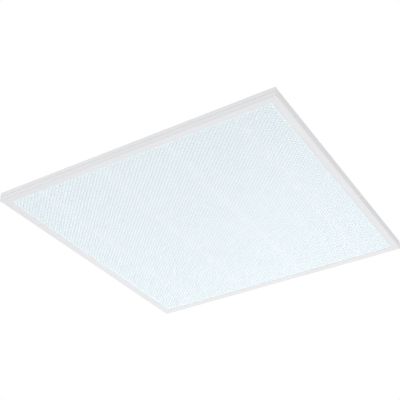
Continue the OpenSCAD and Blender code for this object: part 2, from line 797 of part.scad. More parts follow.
// Lower shell of the driver case, with its fixing ears and board posts
module driver_base() {
    color(case_white) difference() {
        union() {
            difference() {
                translate([case_x0, -case_w / 2, back_z]) cube([case_l, case_w, base_h]);
                translate([case_x0 + case_t, -inner_y, case_floor])
                    cube([case_l - 2 * case_t, 2 * inner_y, base_h]);
            }
            for (x = post_xs, s = [-1, 1]) translate([x, s * post_y, case_floor - eps]) {
                cylinder(r = post_r, h = case_join - case_floor + eps);
                cylinder(r = post_r + post_step, h = board_z - case_floor + eps);
            }
            for (s = [-1, 1]) translate([clamp_x, s * clamp_y, case_floor - eps])
                cylinder(r = clamp_post_r, h = clamp_low - cover_gap - case_floor + eps);
            for (x = term_rest_xs) translate([x, 0, case_floor - eps])
                cylinder(r = term_rest_r, h = board_z - case_floor + eps);
            for (p = ear_places) fixing_ear(p);
        }
        translate([case_x1 - case_t - eps, 0, inlet_z]) rotate([0, 90, 0])
            cylinder(r = inlet_r, h = case_t + 2 * eps);
        translate([case_x0 - eps, 0, lead_exit_z]) rotate([0, 90, 0])
            cylinder(r = grommet_r, h = case_t + 2 * eps);
        for (x = post_xs, s = [-1, 1]) translate([x, s * post_y, case_floor + post_floor])
            cylinder(r = case_screw_r + screw_play, h = base_h);
        for (s = [-1, 1]) translate([clamp_x, s * clamp_y, case_floor + post_floor])
            cylinder(r = clamp_screw_r + screw_play, h = base_h);
    }
}

// Ear at the foot of the case, with its stud hole
module fixing_ear(p) {
    s = p[1] > 0 ? 1 : -1;
    difference() {
        union() {
            translate([p[0], p[1], back_z]) cylinder(r = ear_r, h = ear_t);
            translate([p[0] - ear_r, s > 0 ? inner_y + eps : p[1], back_z])
                cube([2 * ear_r, ear_out + case_t - eps, ear_t]);
        }
        translate([p[0], p[1], back_z - eps]) cylinder(r = stud_r + 0.3, h = ear_t + 2 * eps);
    }
}

// Upper shell of the driver case, with the lugs that carry the terminal cover
module driver_cover() {
    x1 = bay_x;
    wall_low = board_top + 0.8;
    wall_play = 0.2;
    color(case_white) difference() {
        union() {
            difference() {
                translate([case_x0, -case_w / 2, case_join])
                    cube([x1 - case_x0, case_w, case_top - case_join]);
                translate([case_x0 + case_t, -inner_y, case_join - eps])
                    cube([x1 - case_x0 - 2 * case_t, 2 * inner_y, case_top - case_join - case_t + eps]);
            }
            translate([x1 - case_t, -inner_y + wall_play, wall_low])
                cube([case_t, 2 * (inner_y - wall_play), case_join - wall_low + eps]);
            for (x = post_xs, s = [-1, 1]) translate([x, s * post_y, case_join])
                cylinder(r = post_r, h = case_top - case_join - case_t + eps);
            for (s = [-1, 1]) {
                translate([x1 - eps, s > 0 ? inner_y : -case_w / 2, case_join])
                    cube([axis_x - x1 - side_play, case_t, axis_z - barrel_r - side_play - case_join]);
                translate([0, s > 0 ? ear_in : -ear_in - ear_w, 0]) cover_lug();
            }
        }
        for (x = post_xs, s = [-1, 1]) translate([x, s * post_y, 0]) {
            translate([0, 0, case_join - eps]) cylinder(r = case_screw_r + 2 * screw_play, h = case_h);
            translate([0, 0, case_top - screw_sink]) cylinder(r = case_screw_head + 0.3, h = case_h);
        }
        for (s = [-1, 1]) translate([axis_x, s > 0 ? ear_in - eps : -ear_in - ear_w - eps, axis_z])
            rotate([-90, 0, 0]) cylinder(r = pin_r + pin_play, h = ear_w + 2 * eps);
    }
}

// Lug with a round end about the hinge axis
module cover_lug() {
    translate([axis_x, 0, axis_z]) rotate([-90, 0, 0]) cylinder(r = lug_r, h = ear_w);
    translate([bay_x - eps, 0, axis_z - lug_r]) cube([axis_x - bay_x + eps, ear_w, 2 * lug_r]);
}

// Screws that close the driver case
module case_screws() {
    head_h = 1.8;
    shank_l = 15;
    color(zinc) for (x = post_xs, s = [-1, 1]) translate([x, s * post_y, case_top - screw_sink])
        cross_screw(case_screw_r, shank_l, case_screw_head, head_h);
}

// Soft bush that holds the lead in the case's end wall
module lead_bush() {
    nose = 6;
    rim = 0.9;
    color(black_plastic) translate([case_x0, 0, lead_exit_z]) rotate([0, 90, 0]) rotate_extrude() polygon([
        [lead_d / 2 + grommet_play, -nose], [lead_d / 2 + rim, -nose],
        [grommet_r + rim, -rim], [grommet_r + rim, 0],
        [grommet_r - grommet_play, 0], [grommet_r - grommet_play, case_t], [grommet_r + rim, case_t],
        [grommet_r + rim, case_t + rim], [lead_d / 2 + grommet_play, case_t + rim]
    ]);
}

// Nuts that clamp the ears on the tray's welded studs
module driver_nuts() {
    color(zinc) for (p = ear_places) translate([p[0], p[1], back_z + ear_t]) difference() {
        cylinder(r = nut_af / sqrt(3), h = nut_h, $fn = 6);
        translate([0, 0, -eps]) cylinder(r = stud_r + 0.05, h = nut_h + 2 * eps);
    }
}

// Circuit board on the posts, running on under the terminal
module driver_board() {
    color([0.1, 0.35, 0.18]) translate([board_x0, -board_y, board_z]) difference() {
        cube([board_x1 - board_x0, 2 * board_y, board_t]);
        for (x = post_xs, s = [-1, 1]) translate([x - board_x0, board_y + s * post_y, -eps])
            cylinder(r = post_r + post_play, h = board_t + 2 * eps);
    }
}

// Ferrite core, a rectangular ring with a middle leg along X
module transformer_core() {
    outer_y = core_leg_y + 2 * (core_window_y + core_side);
    color([0.2, 0.2, 0.22]) translate([core_x, 0, board_top + wind_wrap]) difference() {
        translate([-core_l / 2, -outer_y / 2, 0]) cube([core_l, outer_y, core_z]);
        for (s = [-1, 1]) translate([0, s * (core_leg_y + core_window_y) / 2, core_z / 2])
            cube([core_window_x, core_window_y, core_z + 2 * eps], center = true);
    }
}

// Taped winding round the core's middle leg, standing on the board
module transformer_winding() {
    play = 0.1;
    wide = core_leg_y + 2 * wind_wrap;
    color([0.85, 0.7, 0.15]) translate([core_x - core_window_x / 2 + play, 0, board_top]) difference() {
        translate([0, -wide / 2, 0]) cube([core_window_x - 2 * play, wide, core_z + 2 * wind_wrap]);
        translate([-eps, -core_leg_y / 2 - play, wind_wrap - play])
            cube([core_window_x, core_leg_y + 2 * play, core_z + 2 * play]);
    }
}

// Electrolytic capacitor standing on the board, with a chamfered top
module can(x, y, r) {
    chamfer = 0.8;
    translate([x, y, board_top]) {
        cylinder(r = r, h = can_h - chamfer);
        translate([0, 0, can_h - chamfer - eps]) cylinder(r1 = r, r2 = r - chamfer, h = chamfer + eps);
    }
}

module bulk_capacitor() {
    color([0.12, 0.14, 0.3]) can(bulk_at[0], bulk_at[1], bulk_r);
}

module output_capacitors() {
    color([0.1, 0.1, 0.12]) for (s = [-1, 1]) can(output_at[0], s * output_at[1], output_r);
}

// Box-shaped film capacitor across the mains
module filter_capacitor() {
    color([0.75, 0.65, 0.2]) translate([filter_at[0], filter_at[1], board_top]) cube(filter_size);
}

// Ring-core choke, standing on edge with its winding as a plain torus
module choke() {
    color(copper) translate([choke_at[0], choke_at[1], board_top + choke_ring + choke_wire])
        rotate([90, 0, 0]) rotate_extrude() translate([choke_ring, 0]) circle(r = choke_wire);
}

// Folded aluminium plate that cools the transistor
module heat_sink() {
    color([0.75, 0.76, 0.78]) translate([sink_at[0], sink_at[1], board_top]) {
        cube(sink_size);
        cube([sink_size[1], sink_fold, sink_size[2]]);
    }
}

// Transistor held to the heat sink's plate, standing on its three pins
module transistor() {
    stand = 3;
    pin = [0.8, 0.6, stand + eps];
    x = sink_at[0] + package_x;
    y = sink_at[1] - package_size[1];
    pin_x = (package_size[0] - pin[0]) / 2;
    color(black_plastic) translate([x, y, board_top + stand]) {
        cube(package_size);
        for (i = [-1:1]) translate([pin_x + i * pin_pitch, package_size[1] / 3, -stand]) cube(pin);
    }
}

// Two-pole push-in terminal with a chamber for each pole
module mains_terminal() {
    color([0.25, 0.28, 0.3]) difference() {
        translate([term_x0, -term_w / 2, board_top]) cube([term_l, term_w, term_h]);
        for (y = pole_ys) {
            translate([term_x0 + term_wall, y - entry_w / 2, leaf_z]) cube([term_l, entry_w, entry_w + 1]);
            translate([button_x - button_l / 2 - button_play, y - button_w / 2 - button_play, leaf_z + 1])
                cube([button_l + 2 * button_play, button_w + 2 * button_play, term_h]);
        }
    }
}

// Spring leaves that grip the wires under the buttons
module clamp_springs() {
    t = 0.4;
    leaf_w = 4.2;
    foot_l = 9;
    tip = [6.4, 1.4];
    color([0.8, 0.8, 0.82]) for (y = pole_ys)
        translate([term_x0 + term_wall, y + leaf_w / 2, leaf_z]) rotate([90, 0, 0])
            linear_extrude(leaf_w) polygon([
                [0, 0], [foot_l, 0], [foot_l, t], [t, t],
                [t, leaf_h - 1.2 * t], tip, [tip[0], tip[1] + t], [0, leaf_h]
            ]);
}

// Release button that slides in its pocket
module release_button(y) {
    color([0.95, 0.5, 0.1]) translate([button_x - button_l / 2, y - button_w / 2, button_low])
        cube([button_l, button_w, term_top + button_stand - button_low]);
}

module button_live() { release_button(pole_ys[0]); }
module button_neutral() { release_button(pole_ys[1]); }

// Hinged cover of the wiring compartment, its pin moulded in one with it
module terminal_cover() {
    low = case_join + cover_gap;
    plate_z = case_top - case_t;
    gap_y = ear_in - side_play;
    gap_w = ear_w + 2 * side_play;
    grip_w = 12;
    grip_out = 1.6;
    color(case_white) difference() {
        union() {
            translate([axis_x, -case_w / 2, plate_z]) cube([case_x1 - axis_x, case_w, case_t]);
            translate([case_x1 - case_t, -case_w / 2, low]) cube([case_t, case_w, case_top - low]);
            for (s = [-1, 1]) translate([axis_x, s > 0 ? inner_y : -case_w / 2, low])
                cube([case_x1 - axis_x, case_t, case_top - low]);
            translate([axis_x, -case_w / 2, axis_z]) rotate([-90, 0, 0]) cylinder(r = barrel_r, h = case_w);
            translate([case_x1 - eps, -grip_w / 2, low]) cube([grip_out, grip_w, case_t]);
        }
        for (y = [gap_y, -gap_y - gap_w])
            translate([axis_x - barrel_r - 1, y, axis_z - barrel_r - 1]) difference() {
                cube([2 * barrel_r + 1.2, gap_w, 2 * barrel_r + 2]);
                translate([barrel_r + 1, -eps, barrel_r + 1]) rotate([-90, 0, 0])
                    cylinder(r = pin_r, h = gap_w + 2 * eps);
            }
    }
}

// Saddle bar that grips the mains cable
module cable_clamp() {
    bar_end = 3.5;
    bite = 0.4;
    color(case_white) translate([clamp_x - clamp_w / 2, 0, clamp_low]) difference() {
        translate([0, -clamp_y - bar_end, 0]) cube([clamp_w, 2 * (clamp_y + bar_end), clamp_bar_h]);
        translate([-eps, 0, inlet_z - clamp_low]) rotate([0, 90, 0])
            cylinder(r = inlet_r - bite, h = clamp_w + 2 * eps);
        for (s = [-1, 1]) translate([clamp_w / 2, s * clamp_y, -eps])
            cylinder(r = clamp_screw_r + 0.3, h = clamp_bar_h + 2 * eps);
    }
}

// Screws of the cable clamp
module clamp_screws() {
    color(zinc) for (s = [-1, 1]) translate([clamp_x, s * clamp_y, clamp_low + clamp_bar_h])
        cross_screw(clamp_screw_r, clamp_screw_l, clamp_screw_head[0], clamp_screw_head[1]);
}

// Wire ring, its straight leg on the hinge axis and its loop towards +X before it is turned
module hanging_ring(k) {
    q = ring_places[k];
    half = ring_w / 2 - ring_r;
    bend = 3;
    color(zinc) translate([q[0], q[1], ring_z]) rotate(q[2]) {
        translate([0, -half + bend, 0]) rotate([-90, 0, 0]) cylinder(r = ring_r, h = 2 * (half - bend));
        for (s = [-1, 1]) {
            scale([1, s, 1]) translate([bend, half - bend, 0]) rotate(90) rotate_extrude(angle = 90)
                translate([bend, 0]) circle(r = ring_r);
            translate([bend, s * half, 0]) rotate([0, 90, 0]) cylinder(r = ring_r, h = ring_arm - bend);
        }
        translate([ring_arm, 0, 0]) rotate(-90) rotate_extrude(angle = 180)
            translate([half, 0]) circle(r = ring_r);
    }
}

module hanging_ring_1() { hanging_ring(0); }
module hanging_ring_2() { hanging_ring(1); }
module hanging_ring_3() { hanging_ring(2); }
module hanging_ring_4() { hanging_ring(3); }

// Where the rivet of the keeper at place q goes
function keeper_rivet_place(q) = [q[0] - keeper_rivet_x * cos(q[2]), q[1]];

// Folded sheet keepers, each a barrel round the ring and a doubled tab on the tray
module ring_keepers() {
    color(zinc) for (q = ring_places) translate([q[0], q[1], 0]) rotate(q[2]) difference() {
        union() {
            translate([0, -keeper_w / 2, ring_z]) rotate([-90, 0, 0]) cylinder(r = knuckle_r, h = keeper_w);
            translate([-keeper_l, -keeper_w / 2, back_z]) cube([keeper_l, keeper_w, 2 * keeper_t]);
        }
        translate([0, -keeper_w / 2 - eps, ring_z]) rotate([-90, 0, 0])
            cylinder(r = ring_bore, h = keeper_w + 2 * eps);
        translate([-keeper_rivet_x, 0, back_z - eps])
            cylinder(r = keeper_rivet_r + screw_play, h = 2 * keeper_t + 2 * eps);
    }
}

// Rivets that hold the keepers to the tray
module keeper_rivets() {
    head_h = 0.9;
    head_out = 1.4;
    tail_h = 1.4;
    tail_out = 0.8;
    top = back_z + 2 * keeper_t;
    color(zinc) for (q = ring_places) let (p = keeper_rivet_place(q)) translate([p[0], p[1], 0]) {
        translate([0, 0, top]) cylinder(r = keeper_rivet_r + head_out, h = head_h);
        translate([0, 0, plate_low - eps]) cylinder(r = keeper_rivet_r, h = top - plate_low + 2 * eps);
        translate([0, 0, plate_low - tail_h]) cylinder(r = keeper_rivet_r + tail_out, h = tail_h);
    }
}

rail_front();
rail_back();
rail_left();
rail_right();
corner_key_1();
corner_key_2();
corner_key_3();
corner_key_4();
tray();
tray_studs();
tray_screws();
reflector_film();
diffuser();
foam_pads();
led_strip_1();
led_strip_2();
led_strip_3();
led_strip_4();
led_chips();
strip_rivets();
strip_connectors();
link_wire_1();
link_wire_2();
link_wire_3();
feed_wire_plus();
feed_wire_minus();
lead_grommet();
panel_lead();
lead_socket();
lead_plug();
driver_lead();
lead_clips();
driver_base();
driver_cover();
case_screws();
lead_bush();
driver_nuts();
driver_board();
transformer_core();
transformer_winding();
bulk_capacitor();
output_capacitors();
filter_capacitor();
choke();
heat_sink();
transistor();
mains_terminal();
clamp_springs();
button_live();
button_neutral();
terminal_cover();
cable_clamp();
clamp_screws();
hanging_ring_1();
hanging_ring_2();
hanging_ring_3();
hanging_ring_4();
ring_keepers();
keeper_rivets();
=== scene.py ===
import math

import bmesh
import bpy
import numpy as np
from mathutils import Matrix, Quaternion, Vector


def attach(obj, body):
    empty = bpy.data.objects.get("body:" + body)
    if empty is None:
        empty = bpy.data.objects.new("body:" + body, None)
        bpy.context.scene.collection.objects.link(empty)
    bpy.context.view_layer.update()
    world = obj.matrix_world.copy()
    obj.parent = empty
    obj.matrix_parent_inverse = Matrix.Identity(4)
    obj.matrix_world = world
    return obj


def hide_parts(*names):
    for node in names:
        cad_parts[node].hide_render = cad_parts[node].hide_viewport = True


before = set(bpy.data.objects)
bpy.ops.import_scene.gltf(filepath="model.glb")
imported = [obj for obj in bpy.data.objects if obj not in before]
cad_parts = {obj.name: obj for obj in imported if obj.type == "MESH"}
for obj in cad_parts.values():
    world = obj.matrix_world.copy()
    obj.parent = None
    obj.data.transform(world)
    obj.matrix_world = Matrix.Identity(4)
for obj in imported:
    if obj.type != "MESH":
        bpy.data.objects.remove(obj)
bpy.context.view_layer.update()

scene = bpy.context.scene

# Frame rails: four lengths of extruded aluminium, powder coated white, with the lip that shows
# round the diffuser and a shadow groove along the outside. They are mitred at the corners and
# screwed to cast keys. Distances u run inwards from the outer face.
panel = 0.595
rail_corners = np.array([
    (0.5, 0.0), (12.0, 0.0), (15.0, 1.05), (15.0, 1.4), (1.8, 1.4), (1.8, 9.0), (13.0, 9.0),
    (13.0, 10.2), (1.8, 10.2), (1.8, 19.0), (0.0, 19.0), (0.0, 10.6), (0.5, 9.5), (0.0, 8.4),
    (0.0, 0.5),
]) / 1000
rail_radii = np.array([
    0.3, 3.0, 0.15, 0.1, 0.3, 0.3, 0.35, 0.35, 0.3, 0.5, 0.5, 0.2, 0.2, 0.3, 0.3,
]) / 1000
mitre_gap = 0.00005
screw_u = 0.0074
fix_span = 0.230
fix_hole_r = 0.0017
shelf_cut = (0.0085, 0.0108)


def coated(name, tones, roughness, peel=(1200, 0.000005), drift=6.0, metallic=0.0,
           stretch=(1, 1, 1)):
    """Opaque finish. The colour drifts between two tones by a slow noise, the roughness wanders by
    a tenth about its value, and a fine noise of the given frequency and height lifts the
    surface."""
    material = bpy.data.materials.new(name)
    material.use_nodes = True
    nodes, links = material.node_tree.nodes, material.node_tree.links
    shader = nodes["Principled BSDF"]
    place = nodes.new("ShaderNodeTexCoord")
    turn = nodes.new("ShaderNodeMapping")
    turn.inputs["Scale"].default_value = stretch
    links.new(place.outputs["Object"], turn.inputs["Vector"])

    def noise(frequency, detail):
        found = nodes.new("ShaderNodeTexNoise")
        found.inputs["Scale"].default_value = frequency
        found.inputs["Detail"].default_value = detail
        links.new(turn.outputs["Vector"], found.inputs["Vector"])
        return found.outputs["Fac"]

    ramp = nodes.new("ShaderNodeValToRGB")
    ramp.color_ramp.elements[0].position = 0.3
    ramp.color_ramp.elements[1].position = 0.7
    ramp.color_ramp.elements[0].color = (*tones[0], 1)
    ramp.color_ramp.elements[1].color = (*tones[1], 1)
    links.new(noise(drift, 3), ramp.inputs["Fac"])
    links.new(ramp.outputs["Color"], shader.inputs["Base Color"])
    wander = nodes.new("ShaderNodeMapRange")
    wander.inputs["To Min"].default_value = roughness * 0.9
    wander.inputs["To Max"].default_value = roughness * 1.1
    links.new(noise(drift * 8, 2), wander.inputs["Value"])
    links.new(wander.outputs["Result"], shader.inputs["Roughness"])
    bump = nodes.new("ShaderNodeBump")
    bump.inputs["Distance"].default_value = peel[1]
    links.new(noise(peel[0], 2), bump.inputs["Height"])
    links.new(bump.outputs["Normal"], shader.inputs["Normal"])
    shader.inputs["Metallic"].default_value = metallic
    return material


def linked(name, data):
    """Object of that name, made of the data and put in the scene."""
    obj = bpy.data.objects.new(name, data)
    scene.collection.objects.link(obj)
    return obj


def make_piece(name, points, faces, finish, slot, nodes, body="panel", crease=30, paint=None):
    """Mesh of the given points and faces, its doubles merged and its faces turned outwards, smooth
    except where two faces meet at more than crease degrees. paint gives each face's finish by
    number where there are several. It rides on its body and stands for the nodes."""
    mesh = bpy.data.meshes.new(name)
    if isinstance(faces, np.ndarray):
        faces = faces.tolist()
    mesh.from_pydata(np.asarray(points).tolist(), [], faces)
    for material in finish if isinstance(finish, (list, tuple)) else [finish]:
        mesh.materials.append(material)
    if paint is not None:
        mesh.polygons.foreach_set("material_index", np.asarray(paint, np.int32))
    shape = bmesh.new()
    shape.from_mesh(mesh)
    bmesh.ops.remove_doubles(shape, verts=shape.verts, dist=1e-7)
    bmesh.ops.recalc_face_normals(shape, faces=shape.faces)
    shape.to_mesh(mesh)
    shape.free()
    obj = linked(name, mesh)
    smooth(mesh, crease)
    even(obj)
    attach(obj, body)
    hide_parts(*nodes)
    return obj


def smooth(mesh, crease):
    """Smooth shading that stops at edges sharper than crease degrees."""
    mesh.shade_smooth()
    mesh.set_sharp_from_angle(angle=math.radians(crease))


def even(obj):
    """Keeps flat faces flat beside their rounded edges: shading normals weighted by face area."""
    weigh = obj.modifiers.new("flat_faces", "WEIGHTED_NORMAL")
    weigh.mode, weigh.weight, weigh.keep_sharp = "FACE_AREA", 50, True


def applied(obj, crease):
    """Makes what a piece's other modifiers show its own mesh, and shades that afresh."""
    for weigh in [m for m in obj.modifiers if m.type == "WEIGHTED_NORMAL"]:
        obj.modifiers.remove(weigh)
    bpy.context.view_layer.update()
    made = obj.evaluated_get(bpy.context.evaluated_depsgraph_get())
    mesh = bpy.data.meshes.new_from_object(made)
    obj.modifiers.clear()
    obj.data = mesh
    smooth(mesh, crease)
    even(obj)


def unit(v):
    """Vectors of length 1 along the last axis."""
    return v / np.linalg.norm(v, axis=-1, keepdims=True)


def filleted(corners, radii, steps=4, closed=True):
    """Outline or open path with round corners. Each corner gives way to the arc of its radius that
    touches both of its sides: the centre lies on the corner's bisector, and the arc blends the
    first touching direction into the last by equal angles. An open path keeps its two ends."""
    corners = np.asarray(corners, float)
    before, after, inner = np.roll(corners, 1, 0), np.roll(corners, -1, 0), corners
    if not closed:
        before, after, inner = corners[:-2], corners[2:], corners[1:-1]
    back, on = unit(before - inner), unit(after - inner)
    half = np.arccos(np.clip((back * on).sum(1), -1, 1))[:, None, None] / 2
    radius = np.broadcast_to(radii, len(inner))[:, None, None]
    corner, back, on = inner[:, None], back[:, None], on[:, None]
    centre = corner + unit(back + on) * radius / np.sin(half)
    first = corner + back * radius / np.tan(half) - centre
    last = corner + on * radius / np.tan(half) - centre
    sweep = math.pi - 2 * half
    t = np.linspace(0, 1, steps + 1)[None, :, None]
    arc = centre + (np.sin((1 - t) * sweep) * first + np.sin(t * sweep) * last) / np.sin(sweep)
    arc = arc.reshape(-1, corners.shape[1])
    return arc if closed else np.concatenate([corners[:1], arc, corners[-1:]])


def drill(obj, centres, radius, low, high, crease=30, sides=40):
    """Round holes along Z. One cutter with a prism at every centre is taken away by a Boolean."""
    a = np.linspace(0, 2 * np.pi, sides, endpoint=False)
    ring = np.stack([np.cos(a), np.sin(a)], 1) * radius
    flat = (np.asarray(centres)[:, None] + ring).reshape(-1, 2)
    points = np.concatenate([np.c_[flat, np.full(len(flat), z)] for z in (low, high)])
    faces = []
    for k in range(len(centres)):
        foot = k * sides + np.arange(sides)
        head = foot + len(flat)
        faces += [foot[::-1].tolist(), head.tolist()]
        faces += np.stack([foot, np.roll(foot, -1), np.roll(head, -1), head], 1).tolist()
    cutter_mesh = bpy.data.meshes.new("cutter")
    cutter_mesh.from_pydata(points.tolist(), [], faces)
    cutter = linked("cutter", cutter_mesh)
    cut = obj.modifiers.new("holes", "BOOLEAN")
    cut.object, cut.solver = cutter, "EXACT"
    applied(obj, crease)
    bpy.data.objects.remove(cutter)


rail_white = coated("rail_white", ((0.745, 0.742, 0.748), (0.775, 0.772, 0.778)), roughness=0.38)
rail_outline = filleted(rail_corners, rail_radii)
rail_turns = {"rail_front": 0, "rail_right": 1, "rail_back": 2, "rail_left": 3}


def turned(points, quarter):
    """Points turned about Z by a number of quarter turns, from the front rail to another."""
    c, s = ((1, 0), (0, 1), (-1, 0), (0, -1))[quarter]
    x, y, z = np.moveaxis(np.asarray(points), -1, 0)
    return np.stack([c * x - s * y, s * x + c * y, z], -1)


def rail_points(stations):
    """The outline carried along X, each end cut along the mitre: x is short of the corner by u."""
    u, z = rail_outline.T
    x = stations[:, None] * (panel / 2 - mitre_gap - u)
    flat = np.broadcast_to(u - panel / 2, x.shape), np.broadcast_to(z, x.shape)
    return np.stack([x, *flat], -1).reshape(-1, 3)


def ring_quads(rows, columns, joined=False):
    """Quads of a grid whose columns run round and join. Its rows join too where it is a ring."""
    i = np.arange(rows if joined else rows - 1)[:, None]
    k = np.arange(columns)
    on, up = (k + 1) % columns, (i + 1) % rows
    quads = np.stack([i * columns + k, i * columns + on, up * columns + on, up * columns + k], -1)
    return quads.reshape(-1, 4)


def capped(rows, columns):
    """The quads of a tube of rows with a flat cap at either end."""
    near = np.arange(columns)
    far = near + (rows - 1) * columns
    return ring_quads(rows, columns).tolist() + [near[::-1].tolist(), far.tolist()]


for node, quarter in rail_turns.items():
    rail = make_piece(f"frame_{node}", turned(rail_points(np.array([-1.0, 1.0])), quarter),
                      capped(2, len(rail_outline)), rail_white, "white_rail", [node], crease=25)
    if quarter % 2 == 0:
        y = (screw_u - panel / 2) * (1 - quarter)
        drill(rail, [(-fix_span / 2, y), (fix_span / 2, y)], fix_hole_r, *shelf_cut)

# Corner keys: zinc castings, L-shaped, that join two rails under their shelves. The cast skin
# stays rough, and only the tray's corner screws hold them.
cast_zinc = coated("cast_zinc", ((0.42, 0.43, 0.45), (0.56, 0.57, 0.59)),
                   roughness=0.5, peel=(900, 0.00004), drift=40, metallic=0.8)


def rounded(obj, width, sharpest=50):
    """Rounds a piece's edges by a Bevel of the given width in millimetres where two faces meet at
    more than sharpest degrees."""
    bevel = obj.modifiers.new("edges", "BEVEL")
    bevel.width, bevel.segments = width / 1000, 2
    bevel.limit_method, bevel.angle_limit = "ANGLE", math.radians(sharpest)
    bevel.use_clamp_overlap = False
    applied(obj, 40)


def softened(name, node, width, finish, body="panel"):
    """A CAD node's shape with its edges rounded: a copy of its mesh in place, doubles merged and
    flat faces joined, under a Bevel of the given width in millimetres."""
    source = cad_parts[node]
    shape = bmesh.new()
    shape.from_mesh(source.data)
    shape.transform(source.matrix_world)
    bmesh.ops.remove_doubles(shape, verts=shape.verts, dist=1e-6)
    bmesh.ops.dissolve_limit(shape, angle_limit=math.radians(1), verts=shape.verts,
                             edges=shape.edges)
    mesh = bpy.data.meshes.new(name)
    shape.to_mesh(mesh)
    shape.free()
    mesh.materials.append(finish)
    mesh.shade_smooth()
    obj = linked(name, mesh)
    rounded(obj, width, 35)
    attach(obj, body)
    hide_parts(node)


for k in (1, 2, 3, 4):
    softened(f"cast_key_{k}", f"corner_key_{k}", 0.6, cast_zinc)

# Back tray: 0.6 mm steel with a dull zinc coat, pressed in one go. A flat flange lies on the
# rails' shelves, the sides slope up to a flat back, and four long beads keep it from drumming.
sheet = 0.0006


def spangled(name, tones, roughness, flake=0.008):
    """Zinc-coated sheet: crystals a flake wide with ragged borders, each with its own tone between
    the two and its own gloss, over a fine grain from the rolls that runs along X."""
    material = coated(name, tones, roughness, peel=(1600, 0.00001), drift=3, metallic=0.85,
                      stretch=(0.1, 1, 1))
    nodes, links = material.node_tree.nodes, material.node_tree.links
    shader = nodes["Principled BSDF"]
    place = nodes.new("ShaderNodeTexCoord")
    crystal = nodes.new("ShaderNodeTexVoronoi")
    crystal.inputs["Scale"].default_value = 1 / flake
    ragged = nodes.new("ShaderNodeTexNoise")
    ragged.inputs["Scale"].default_value = 3 / flake
    ragged.inputs["Detail"].default_value = 3
    links.new(place.outputs["Object"], ragged.inputs["Vector"])
    shift = nodes.new("ShaderNodeVectorMath")
    shift.operation = "MULTIPLY_ADD"
    shift.inputs[1].default_value = (0.6 * flake, 0.6 * flake, 0)
    links.new(ragged.outputs["Color"], shift.inputs[0])
    links.new(place.outputs["Object"], shift.inputs[2])
    links.new(shift.outputs["Vector"], crystal.inputs["Vector"])
    own = nodes.new("ShaderNodeSeparateColor")
    links.new(crystal.outputs["Color"], own.inputs["Color"])
    tone = nodes.new("ShaderNodeMix")
    tone.data_type = "RGBA"
    tone.inputs["A"].default_value = (*tones[0], 1)
    tone.inputs["B"].default_value = (*tones[1], 1)
    links.new(own.outputs["Red"], tone.inputs["Factor"])
    links.new(tone.outputs["Result"], shader.inputs["Base Color"])
    gloss = nodes.new("ShaderNodeMapRange")
    gloss.inputs["To Min"].default_value = roughness * 0.85
    gloss.inputs["To Max"].default_value = roughness * 1.2
    links.new(own.outputs["Green"], gloss.inputs["Value"])
    links.new(gloss.outputs["Result"], shader.inputs["Roughness"])
    return material


tray_zinc = spangled("tray_zinc", ((0.455, 0.468, 0.48), (0.525, 0.538, 0.55)), 0.46)
flange_z, back_z = 0.0108, 0.0184
tray_edge = panel / 2 - 0.0024
tray_corner, slope_start, tray_bend = 0.028, 0.0166, 0.0008
bead_half, bead_flank, bead_rise, bead_reach = 0.006, 0.0028, 0.0015, 0.224
bead_lines = (-0.248, -0.141, 0.141, 0.248)
flange_cut, back_cut = (0.0095, 0.0115), (0.0170, 0.0190)
lead_x, lead_hole_r = -0.265, 0.004


def step(t):
    """Smooth step from 0 to 1: 3t^2 - 2t^3 between t = 0 and t = 1."""
    t = np.clip(t, 0, 1)
    return t * t * (3 - 2 * t)


def tray_height(x, y):
    """Height of the tray's upper face. Inwards distance is measured from a square with round
    corners. From slope_start on the sheet climbs at 45 degrees from flange to back, and its two
    bends are softened. Each bead adds a smooth rise round its own straight middle line."""
    qx, qy = np.abs(x) - panel / 2 + tray_corner, np.abs(y) - panel / 2 + tray_corner
    outside = np.hypot(np.maximum(qx, 0), np.maximum(qy, 0))
    inwards = tray_corner - outside - np.minimum(np.maximum(qx, qy), 0)
    climb = inwards - slope_start
    softened_foot = 0.5 * (climb + np.sqrt(climb ** 2 + tray_bend ** 2))
    left = back_z - flange_z - softened_foot
    z = back_z - 0.5 * (left + np.sqrt(left ** 2 + tray_bend ** 2))
    for line in bead_lines:
        away = np.hypot(np.maximum(np.abs(x) - bead_reach, 0), y - line)
        z = z + bead_rise * step((bead_half - away) / bead_flank)
    return z


def mirrored(*runs):
    """Grid lines in millimetres on both sides of 0, as sorted lengths in metres. The runs are
    close over the slope and the beads' flanks, and wide where the sheet is flat."""
    half = np.concatenate([np.atleast_1d(run) for run in runs]) / 1000
    return np.unique(np.round(np.concatenate([-half, half]), 6))


edge_lines = [1000 * tray_edge, 290, 286, 284, *np.linspace(282.4, 270.4, 21), 262]
tray_x = mirrored(edge_lines, (246, 236), np.linspace(231, 222, 10),
                  (212, 180, 145, 110, 75, 40, 0))
tray_y = mirrored(edge_lines, 257, np.linspace(254.2, 241.8, 17), (232, 215, 195, 175, 155),
                  np.linspace(147.2, 134.8, 17), (125, 100, 70, 35, 0))
gx, gy = np.meshgrid(tray_x, tray_y, indexing="ij")
gz = tray_height(gx, gy)
top = np.stack([gx, gy, gz], -1)
nudge = 1e-5
slope_x = (tray_height(gx + nudge, gy) - tray_height(gx - nudge, gy)) / (2 * nudge)
slope_y = (tray_height(gx, gy + nudge) - tray_height(gx, gy - nudge)) / (2 * nudge)
under = top - sheet * unit(np.stack([-slope_x, -slope_y, np.ones_like(gz)], -1))


def grid_quads(rows, columns, start=0):
    """Quads of a rows by columns grid of points numbered row by row from start."""
    a = start + (np.arange(rows - 1)[:, None] * columns + np.arange(columns - 1)).ravel()
    return np.stack([a, a + columns, a + columns + 1, a + 1], 1)


def rim_of(rows, columns):
    """Numbers of a grid's border points, once round."""
    n = np.arange(rows * columns).reshape(rows, columns)
    return np.concatenate([n[0, :-1], n[:-1, -1], n[-1, :0:-1], n[:0:-1, 0]])


